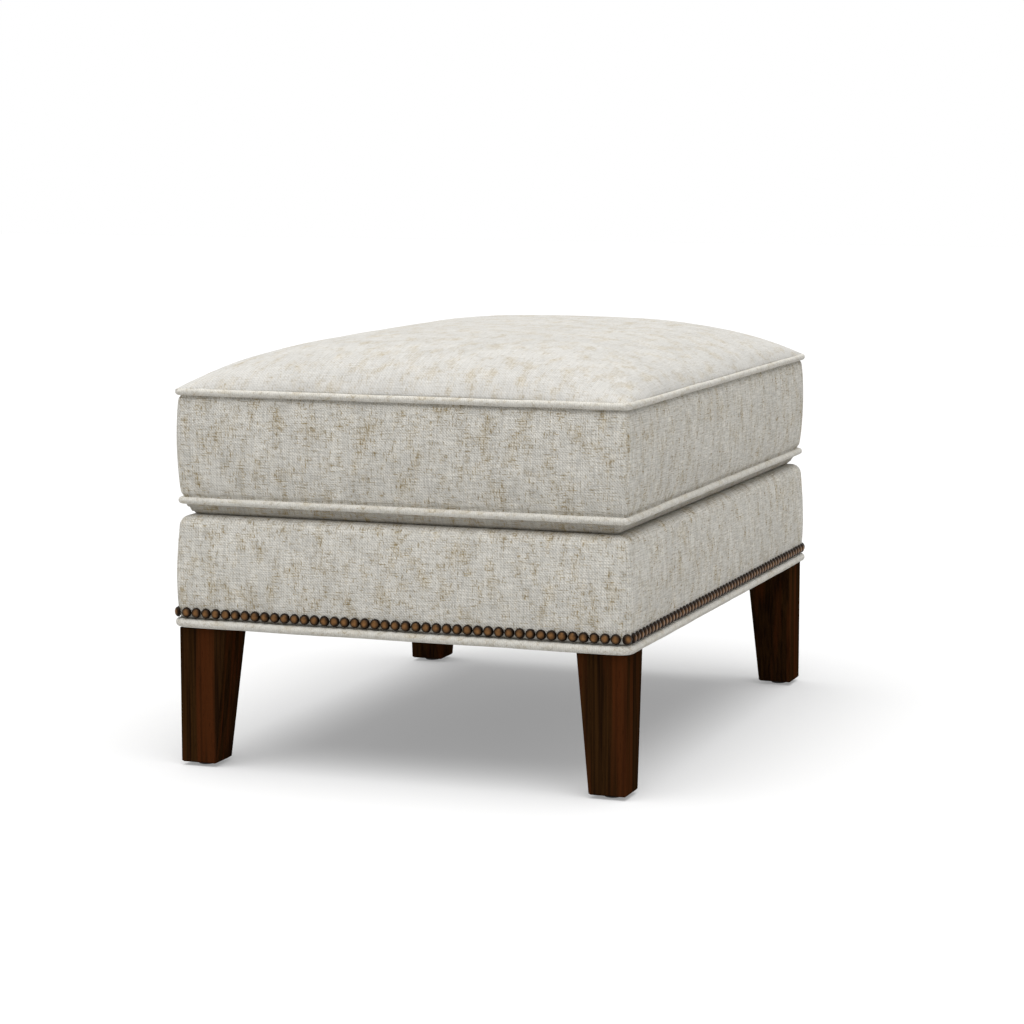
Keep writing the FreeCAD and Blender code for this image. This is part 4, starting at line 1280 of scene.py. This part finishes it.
@dataclass
class Deck:
    """The cloth inside the lips, sewn round its edge, and the dust cloth under the frame."""

    half_width: float = 254.0
    half_length: float = 354.0
    lip: float = 80.0
    lap: float = 10.0
    top: float = 273.5
    thickness: float = 0.8
    sag: float = 0.4
    swell: tuple[float, float, float] = (48.0, 31.0, 1.0)
    mean_sag: float = 0.8
    stitch_inset: float = 5.0
    stitch_gap: float = 4.2
    dust_inset: float = 12.0
    dust_top: float = 152.6
    dust_thickness: float = 0.6
    staple_gap: float = 45.0
    staple_inset: float = 8.0
    wire: float = 0.7
    stitch_path: tuple[tuple[float, float], ...] = (
        (-1.5, -0.35), (-1.2, 0.15), (0.0, 0.35), (1.2, 0.15), (1.5, -0.35))
    staple_path: tuple[tuple[float, float], ...] = (
        (-5.0, -0.6), (-5.0, 0.3), (5.0, 0.3), (5.0, -0.6))

    def sheet(
        self, name: str, inset: float, level: float, thickness: float, down: bool
    ) -> bpy.types.Object:
        """A flat cloth with a soft surface.

        Args:
            name: the piece's name.
            inset: millimetres in from the base's faces.
            level: height of the outer surface.
            thickness: millimetres of cloth.
            down: True where the outer surface looks down.

        Returns:
            The piece.
        """
        half_across = self.half_width - inset
        half_along = self.half_length - inset
        across = np.linspace(-half_across, half_across, 56)
        along = np.linspace(-half_along, half_along, 76)
        if down:
            across = across[::-1]
        cloth = np.stack(np.meshgrid(across, along), axis=-1)
        grid = raised(cloth, level)
        inner = (1 - (cloth[..., 0] / half_across) ** 4) * (1 - (cloth[..., 1] / half_along) ** 4)
        soft = (unevenness(grid, self.swell) - self.mean_sag) * self.sag * inner
        grid[..., 2] += -soft if down else soft
        return sheet_object(name, grid, cloth, thickness)

    def edge_rows(self, inset: float, level: float, up: float, gap: float) -> list:
        """Rows of points round a rectangle.

        Args:
            inset: millimetres in from the base's faces.
            level: their height.
            up: 1 where they face up, -1 where they face down.
            gap: their spacing.

        Returns:
            The rows, as the row tree takes them.
        """
        across = self.half_width - inset
        along = self.half_length - inset
        corners = [(across, -along), (across, along), (-across, along), (-across, -along)]
        found = []
        for start, end in zip(corners, corners[1:] + corners[:1]):
            shares = np.linspace(0.006, 0.994, 30)[:, None]
            flat = np.array(start) + (np.array(end) - np.array(start)) * shares
            found.append((raised(flat, level), np.tile([0.0, 0.0, up], (len(flat), 1)), gap))
        return found

    def build(self, palette: Palette, rows: RowTree) -> None:
        """Make both cloths and what holds them.

        Args:
            palette: the materials.
            rows: the tree that repeats shapes.
        """
        deck_inset = self.lip - self.lap
        deck = self.sheet("deck_cloth_sheet", deck_inset, self.top, self.thickness, False)
        dress(deck, palette.deck, Body.BASE, "deck_cloth", "deck_cloth", "deck_pad",
              "spring_insulator")
        stitch = rod_shape("stitch", self.stitch_path, self.wire)
        lip_level = self.top + 1.5
        seam = rows.lay("deck_seam_stitches",
                        self.edge_rows(self.lip - self.stitch_inset, lip_level, 1.0,
                                       self.stitch_gap),
                        stitch, palette.thread, tilt=0.03, seed=3)
        dress(seam, palette.thread, Body.BASE, "deck_cloth")
        dust = self.sheet("dust_cloth_sheet", self.dust_inset,
                          self.dust_top - self.dust_thickness, self.dust_thickness, True)
        dress(dust, palette.dust, Body.BASE, "dust_cloth", "dust_cover")
        staple = rod_shape("staple", self.staple_path, self.wire)
        staples = rows.lay("dust_cloth_staples",
                           self.edge_rows(self.dust_inset + self.staple_inset,
                                          self.dust_top - self.dust_thickness, -1.0,
                                          self.staple_gap),
                           staple, palette.steel, tilt=0.06, seed=5)
        dress(staples, palette.steel, Body.BASE, "steel")


# Cushion


@dataclass
class Cushion:
    """The loose box cushion: crowned top, four side strips, flat underside and a zip."""

    plan: Plan = field(default_factory=lambda: Plan(254.0, 354.0, 5.0, cell=6.0))
    welt_plan: Plan = field(default_factory=lambda: Plan(254.0, 354.0, 8.0))
    seam_reach: float = -2.0
    seam_inset: float = 0.8
    lower_tuck: float = 1.0
    lower_welt_reach: float = -1.6
    upper_welt_reach: float = 0.2
    lower_welt: float = 290.6
    upper_welt: float = 408.0
    welt_diameter: float = 7.5
    under_level: float = 275.4
    under_radius: float = 13.0
    side_bottom: float = 295.6
    side_top: float = 403.7
    lower_reach: float = -2.2
    upper_reach: float = -0.6
    side_bulge: float = 2.0
    crease: float = 3.0
    crown_rise: float = 54.2
    crown_start: float = 0.7
    power_across: float = 2.55
    power_along: float = 4.68
    fullness: float = 0.53
    overhang: float = 2.0
    roll: float = 12.0
    thickness: float = 1.5
    zip_level: float = 349.65
    half_slot: float = 4.5
    zip_end: float = 243.0
    zip_closing: float = 5.0
    pucker: float = 0.35
    pucker_run: float = 7.0
    puckers: tuple[tuple[float, float, float], ...] = ((13.0, 40.0, 1.0), (30.0, 45.0, 0.6))
    top_swell: tuple[float, float, float] = (75.0, 51.0, 0.8)
    side_rows: int = 19
    seam_rows: tuple[float, float] = (1.6, 3.4)
    crease_run: float = 1.7
    corner_seam_depth: float = 0.5
    corner_seam_angle: float = 0.16
    inflation: Inflation = field(default_factory=Inflation)

    @property
    def seam_radius(self) -> float:
        """The radius of the seams' corners."""
        return self.plan.corner + self.seam_reach

    @property
    def seam_half(self) -> np.ndarray:
        """Half the width and half the length between the seams."""
        return np.array([self.plan.half_width, self.plan.half_length]) + self.seam_reach

    def side_levels(self) -> list[tuple[float, float]]:
        """The side strips' section between the two seams.

        Returns:
            Reach and height of each level, from the lower seam to the upper one.
        """
        middle = (self.side_bottom + self.side_top) / 2
        half = (self.side_top - self.side_bottom) / 2
        heights = [self.side_bottom + (self.side_top - self.side_bottom) * share
                   for share in np.linspace(0, 1, self.side_rows)]
        near = [height for height in heights if abs(height - self.zip_level) > 7]
        near += [self.zip_level + step * self.half_slot for step in (-1, 0, 1)]
        near += [self.side_bottom + depth for depth in self.seam_rows]
        heights = sorted(near + [self.side_top - depth for depth in self.seam_rows])
        levels = [(self.seam_reach - self.lower_tuck, self.lower_welt + self.seam_inset)]
        for height in heights:
            share = (height - middle) / half
            tuck = self.crease * math.exp(-half * (1 - abs(share)) / self.crease_run)
            face = bowed(self.lower_reach, self.upper_reach, self.side_bulge, share)
            levels.append((face - tuck, height))
        levels.append((self.seam_reach, self.upper_welt - self.seam_inset))
        return levels

    def grid_lines(self, inner: float, side: Side) -> np.ndarray:
        """The lines of the top's grid along one axis.

        Args:
            inner: half the seam's straight run along the axis.
            side: a side that runs along the axis.

        Returns:
            Millimetres from the middle, from one end of the seam to the other.
        """
        steps = np.arange(1, self.plan.arc_cells + 1) / self.plan.arc_cells * self.seam_radius
        straight = self.plan.shares(side) * inner
        return np.concatenate([-inner - steps[::-1], straight, inner + steps])

    def panel_grid(self) -> tuple[np.ndarray, np.ndarray]:
        """The grid that both large panels share.

        Returns:
            Square grid points and the same points with the corners rounded, x and y each.
        """
        inner = self.seam_half - self.seam_radius
        across = self.grid_lines(inner[0], Side.FRONT)
        along = self.grid_lines(inner[1], Side.RIGHT)
        square = np.stack(np.meshgrid(across, along), axis=-1)
        inside = np.clip((np.abs(square) - inner) / self.seam_radius, 0, 1)
        arc = inside * np.sqrt(1 - inside[..., ::-1] ** 2 / 2)
        both = (inside > 0).all(axis=-1, keepdims=True)
        rounded = np.where(both, np.sign(square) * (inner + arc * self.seam_radius), square)
        return square, rounded

    def crown(self, square: np.ndarray, rounded: np.ndarray) -> np.ndarray:
        """The crowned top, which rolls out over the welt before it turns in.

        Args:
            square: x and y on the square grid.
            rounded: the same points with the corners rounded.

        Returns:
            X, y and z of each point.
        """
        half = self.seam_half
        outer = half - self.seam_reach + self.overhang
        depth = half - np.abs(square)
        near = np.clip(depth / self.roll, 0, 1)
        gap = self.roll + self.overhang - self.seam_reach
        inwards = np.where(depth < self.roll, gap * near ** 1.5, depth + gap - self.roll)
        inside = np.clip(1 - depth / self.seam_radius, 0, 1)
        push = (gap - self.roll + depth - inwards) * np.sqrt(1 - inside[..., ::-1] ** 2 / 2)
        shares = 1 - inwards / outer
        left = (1 - shares[..., 0] ** self.power_across)
        left *= (1 - shares[..., 1] ** self.power_along)
        height = self.upper_welt + self.crown_start + self.crown_rise * left ** self.fullness
        return np.concatenate([rounded + np.sign(square) * push, height[..., None]], axis=-1)

    def underside(self, rounded: np.ndarray) -> np.ndarray:
        """Height of the underside, flat in the middle and turned up round its edge.

        Args:
            rounded: x and y with the corners rounded.

        Returns:
            Millimetres up.
        """
        over = np.abs(rounded) - (self.seam_half - self.seam_radius)
        outside = np.linalg.norm(np.clip(over, 0, None), axis=-1)
        depth = self.seam_radius - outside - np.minimum(over.max(axis=-1), 0)
        share = np.clip(1 - depth / self.under_radius, 0, 1)
        rise = self.lower_welt - self.seam_inset - self.under_level
        return self.under_level + rise * share ** 2 * (3 - 2 * share)

    def gathers(self, rounded: np.ndarray) -> np.ndarray:
        """Small gathers that die out away from the seam.

        Args:
            rounded: x and y of the panel's points.

        Returns:
            Millimetres outwards.
        """
        room = self.seam_half - np.abs(rounded)
        beside = room[..., 0] < room[..., 1]
        nearer = np.stack([beside, ~beside], axis=-1)
        edge = np.where(nearer, np.sign(rounded) * self.seam_half, rounded)
        wave = unevenness(raised(edge, 0.0), *self.puckers)
        share = room.min(axis=-1) / self.pucker_run
        return wave * self.pucker * share * np.exp(1 - share)

    def build_shell(self) -> tuple[np.ndarray, np.ndarray, np.ndarray]:
        """Shape the whole cover as one closed cloth, blow it up and let it settle.

        Returns:
            Points of the sides, of the top and of the underside, each rows by columns.
        """
        levels = self.side_levels()
        sides = np.array([self.plan.ring(reach, height) for reach, height in levels])
        square, rounded = self.panel_grid()
        top = self.crown(square, rounded)
        bottom = np.concatenate([rounded, self.underside(rounded)[..., None]], axis=-1)
        rows, columns = sides.shape[:2]
        order = self.rim_order(*top.shape[:2])
        side_count = rows * columns
        numbers = np.arange(top.shape[0] * top.shape[1]).reshape(top.shape[:2])
        inner = np.ones(numbers.shape, bool)
        inner[0, :] = inner[-1, :] = inner[:, 0] = inner[:, -1] = False
        inner_count = int(inner.sum())
        maps = []
        for index, row in enumerate((rows - 1, 0)):
            table = np.zeros(numbers.size, int)
            table[numbers[inner]] = side_count + index * inner_count + np.arange(inner_count)
            table[order] = row * columns + np.arange(columns)
            maps.append(table)
        quads = grid_faces(*top.shape[:2])
        faces = np.concatenate([grid_faces(rows, columns, closed=True), maps[0][quads],
                                maps[1][quads][:, ::-1]])
        points = np.concatenate([sides.reshape(-1, 3), top[inner], bottom[inner]])
        held = np.concatenate([np.arange(columns), np.arange(columns) + columns * (rows - 1),
                               maps[1][numbers[inner]]])
        settled = self.inflation.run("cushion_cover", points, faces, held)
        sides = settled[:side_count].reshape(rows, columns, 3)
        top = settled[maps[0]].reshape(top.shape)
        bottom = settled[maps[1]].reshape(bottom.shape)
        top[..., 2] += self.gathers(rounded)
        top[..., 2] += unevenness(raised(rounded, 0.0), self.top_swell)
        return sides, top, bottom

    def rim_order(self, rows: int, columns: int) -> np.ndarray:
        """Grid numbers round the rim, in the order of the side strips' columns.

        Args:
            rows: grid rows, from front to back.
            columns: grid columns, from left to right.

        Returns:
            The numbers, counter-clockwise from the front right corner.
        """
        right = [row * columns + columns - 1 for row in range(rows - 1)]
        back = [(rows - 1) * columns + column for column in range(columns - 1, 0, -1)]
        left = [row * columns for row in range(rows - 1, 0, -1)]
        front = list(range(columns - 1))
        return np.array(right + back + left + front)

    def build(self, palette: Palette) -> None:
        """Make the panels and the welts.

        Args:
            palette: the materials.
        """
        sides, top, bottom = self.build_shell()
        # The top panel gets the darker copy of the linen, painted shade against the light on the
        # top.
        self.panel_piece("top_panel_cloth", top, palette.top_linen_painted_shade, 3000.0,
                         "top_panel", "fibre_top", "foam_core")
        # The underside gets the darker copy of the linen, painted shade of the gap.
        self.panel_piece("bottom_panel_cloth", bottom[:, ::-1], palette.under_linen_painted_shade, 5000.0,
                         "bottom_panel", "fibre_bottom")
        self.side_pieces(sides, palette)
        for name, reach, level, seed in (
                ("lower", self.lower_welt_reach, self.lower_welt, 60.0),
                ("upper", self.upper_welt_reach, self.upper_welt, 80.0)):
            Welt("welt_%s_cord" % name, "welt_" + name, self.welt_plan, reach, level,
                 self.welt_diameter, seed, Body.CUSHION).build(palette.bias_linen)

    def panel_piece(
        self, name: str, points: np.ndarray, material: bpy.types.Material, shift: float,
        *nodes: str,
    ) -> None:
        """Make one large panel, its weave measured along the cloth from the middle.

        Args:
            name: the piece's name.
            points: its points, rows by columns.
            material: its cloth.
            shift: millimetres that move the weave, so that pieces differ.
            nodes: the solids that it stands for.
        """
        lengths = []
        for axis in (1, 0):
            steps = np.linalg.norm(np.diff(points, axis=axis), axis=-1)
            edge = np.zeros_like(np.take(steps, [0], axis=axis))
            run = np.cumsum(np.concatenate([edge, steps], axis=axis), axis=axis)
            middle = np.take(run, [run.shape[axis] // 2], axis=axis)
            lengths.append(run - middle)
        cloth = np.stack(lengths, axis=-1) + shift
        piece = sheet_object(name, points, cloth, self.thickness)
        dress(piece, material, Body.CUSHION, "cover_fabric", *nodes)

    def side_pieces(self, sides: np.ndarray, palette: Palette) -> None:
        """Make the side strips, the back one in two halves.

        Args:
            sides: their points, rows by columns all round.
            palette: the materials.
        """
        levels = self.side_levels()
        above_zip = np.array([height for _, height in levels]) - self.zip_level
        low_row, high_row = (int(np.argmin(np.abs(above_zip - step * self.half_slot)))
                             for step in (-1, 1))
        start = 0
        total = sides.shape[1]
        for side in Side:
            count = len(self.plan.columns(side)[0])
            chosen = np.arange(start, start + count) % total
            start += count - 1
            _, cloth, headings = self.plan.panel(side, levels)
            points = sides[:, chosen]
            seam = self.plan.corner_seam(side, self.corner_seam_angle)
            points = points - headings * seam[None, :, None] * self.corner_seam_depth
            if side is Side.BACK:
                past = np.abs(cloth[0, :, 0]) - self.zip_end
                closed = np.clip(past / self.zip_closing, 0, 1)[:, None]
                for row in (low_row, high_row):
                    points[row] += (points[low_row + 1] - points[row]) * closed
                    cloth[row] += (cloth[low_row + 1] - cloth[row]) * closed
            cloth[..., 0] += 1000.0 * (side.value + 7)
            if side is Side.BACK:
                parts = [("boxing_back_lower", slice(0, low_row + 1)),
                         ("boxing_back_upper", slice(high_row, None))]
            else:
                parts = [("boxing_" + side.name.lower(), slice(None))]
            for node, chosen_rows in parts:
                piece = sheet_object(node + "_cloth", points[chosen_rows], cloth[chosen_rows],
                                     self.thickness, 1)
                dress(piece, palette.linen, Body.CUSHION, "cover_fabric", node)


@dataclass
class Zip:
    """The zip in the back strip."""

    level: float = 349.65
    face: float = 354.6
    half_run: float = 240.0
    tooth_gap: float = 1.5
    tooth_reach: float = 1.5
    tooth_path: tuple[tuple[float, float], ...] = ((0.0, -0.2), (0.0, 1.7))
    tooth_wire: float = 1.1
    tooth_stretch: float = 2.9
    row_points: int = 20

    def build(self, palette: Palette, rows: RowTree) -> None:
        """Make the coil; the tapes, stops, slider and pull keep their solids.

        Args:
            palette: the materials.
            rows: the tree that repeats shapes.
        """
        tooth = rod_shape("coil_turn", self.tooth_path, self.tooth_wire, 8)
        shape = bmesh.new()
        shape.from_mesh(tooth)
        bmesh.ops.scale(shape, vec=(1.0, self.tooth_stretch, 1.0), verts=shape.verts)
        shape.to_mesh(tooth)
        shape.free()
        lines = []
        for sign, shift in ((1, 0.0), (-1, self.tooth_gap / 2)):
            end = self.half_run - shift - 1
            line = np.full((self.row_points, 3), self.face)
            line[:, 0] = np.linspace(end, -end, self.row_points)
            line[:, 2] = self.level + sign * self.tooth_reach
            lines.append((line, np.tile([0.0, 1.0, 0.0], (len(line), 1)), self.tooth_gap))
        coil = rows.lay("zip_coil", lines, tooth, palette.coil, seed=9)
        dress(coil, palette.coil, Body.CUSHION, "zip_chain", "zip_chain")


# Solids that keep their shape


CARRIED: dict[str, tuple[str, ...]] = {
    "leg": ("leg_back_right", "leg_back_left", "leg_front_left", "leg_front_right"),
    "glide": ("glides",),
    "steel": ("hanger_bolts", "threaded_inserts", "seat_springs", "spring_clips"),
    "spruce": ("post_back_right", "post_back_left", "post_front_left", "post_front_right",
               "rail_right", "rail_back", "rail_left", "rail_front", "cross_rail",
               "rail_dowels"),
    "tape": ("zip_tape_upper", "zip_tape_lower"),
    "coil": ("zip_stops",),
    "die_cast": ("zip_slider", "zip_pull"),
}


def dress_solids(palette: Palette) -> None:
    """Give each solid that stays its material.

    Args:
        palette: the materials.
    """
    for finish, nodes in CARRIED.items():
        for node in nodes:
            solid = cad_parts[node]
            if not solid.material_slots:
                solid.data.materials.append(None)
            for place in solid.material_slots:
                place.material = getattr(palette, finish)
            LOG.info("%s keeps its solid", node)


# Studio


@dataclass
class Studio:
    """Pale floor, soft daylight from above and a camera where the photographer stood."""

    camera_place: tuple[float, float, float] = (1.1416, -3.1165, 0.6830)
    azimuth: float = 20.127
    pitch: float = 7.507
    lens: float = 101.2
    sky: float = 0.51
    sun: float = 3.08
    sun_width: float = 72.0
    sun_lean: float = 13.0
    floor_half: float = 14.0
    floor_glow: float = 0.27
    floor_paint: str = "C7C7C7"

    def path_share(self, tree: bpy.types.NodeTree) -> bpy.types.NodeSocket:
        """What the camera sees directly, in a mirror or through glass.

        Args:
            tree: the tree that asks.

        Returns:
            1 for those rays and 0 for the rest.
        """
        rays = add_node(tree, "ShaderNodeLightPath").outputs
        first = combine(tree, "MAXIMUM", rays["Is Camera Ray"], rays["Is Glossy Ray"])
        return combine(tree, "MAXIMUM", first, rays["Is Transmission Ray"])

    def build_sky(self) -> None:
        """White behind the object, and an even grey light on it."""
        world = bpy.data.worlds.new("studio")
        world.use_nodes = True
        tree = world.node_tree
        tree.nodes.clear()
        light = add_node(tree, "ShaderNodeBackground", {
            "Color": WHITE, "Strength": self.sky})
        backdrop = add_node(tree, "ShaderNodeBackground", {
            "Color": WHITE, "Strength": 1.0})
        mixed = add_node(tree, "ShaderNodeMixShader", {
            0: self.path_share(tree), 1: light.outputs[0], 2: backdrop.outputs[0]})
        add_node(tree, "ShaderNodeOutputWorld", {"Surface": mixed.outputs[0]})
        bpy.context.scene.world = world

    def build_floor(self) -> None:
        """A pale floor that keeps the object's shadow."""
        half = self.floor_half / MM
        corners = np.array([(-half, -half, 0), (half, -half, 0), (half, half, 0),
                            (-half, half, 0)])
        floor = new_object("studio_floor", mesh_of("studio_floor", corners, [(0, 1, 2, 3)]))
        material = bpy.data.materials.new("floor_painted_white")
        material.use_nodes = True
        tree = material.node_tree
        tree.nodes.clear()
        paint = add_node(tree, "ShaderNodeBsdfDiffuse", {"Color": linear(self.floor_paint)})
        glow = add_node(tree, "ShaderNodeEmission", {
            "Color": WHITE,
            "Strength": combine(tree, "MULTIPLY", self.path_share(tree), self.floor_glow)})
        both = add_node(tree, "ShaderNodeAddShader", {0: paint.outputs[0], 1: glow.outputs[0]})
        add_node(tree, "ShaderNodeOutputMaterial", {"Surface": both.outputs[0]})
        floor.data.materials.append(material)

    def build_sun(self) -> None:
        """A broad soft lamp above, leaning a little towards the front."""
        lamp = bpy.data.lights.new("overhead_softbox", "SUN")
        lamp.energy = self.sun
        lamp.angle = math.radians(self.sun_width)
        made = bpy.data.objects.new("overhead_softbox", lamp)
        made.rotation_euler = (math.radians(self.sun_lean), 0.0, 0.0)
        made.location = (0.0, 0.0, 3.0)
        bpy.context.scene.collection.objects.link(made)

    def build_camera(self) -> None:
        """The photograph's view."""
        lens = bpy.data.cameras.new("camera")
        lens.sensor_width = 36.0
        lens.sensor_fit = "HORIZONTAL"
        lens.lens = self.lens
        lens.clip_start = 0.05
        lens.clip_end = 100.0
        made = bpy.data.objects.new("camera", lens)
        turn, drop = math.radians(self.azimuth), math.radians(self.pitch)
        ahead = Vector((-math.sin(turn) * math.cos(drop), math.cos(turn) * math.cos(drop),
                        -math.sin(drop)))
        made.matrix_world = (Matrix.Translation(Vector(self.camera_place))
                             @ ahead.to_track_quat("-Z", "Y").to_matrix().to_4x4())
        bpy.context.scene.collection.objects.link(made)
        bpy.context.scene.camera = made

    def build(self) -> None:
        """Set up the whole studio."""
        bpy.context.scene.view_settings.view_transform = "Standard"
        self.build_sky()
        self.build_floor()
        self.build_sun()
        self.build_camera()


def main() -> None:
    """Build the footstool's looks around its solids."""
    logging.basicConfig(level=logging.INFO, format="%(name)s: %(message)s")
    palette = Palette()
    rows = RowTree("copies_along_rows")
    Studio().build()
    BaseCovers().build(palette)
    BaseTrim().build(palette, rows)
    Deck().build(palette, rows)
    Cushion().build(palette)
    Zip().build(palette, rows)
    dress_solids(palette)


if __name__ == "__main__":
    main()
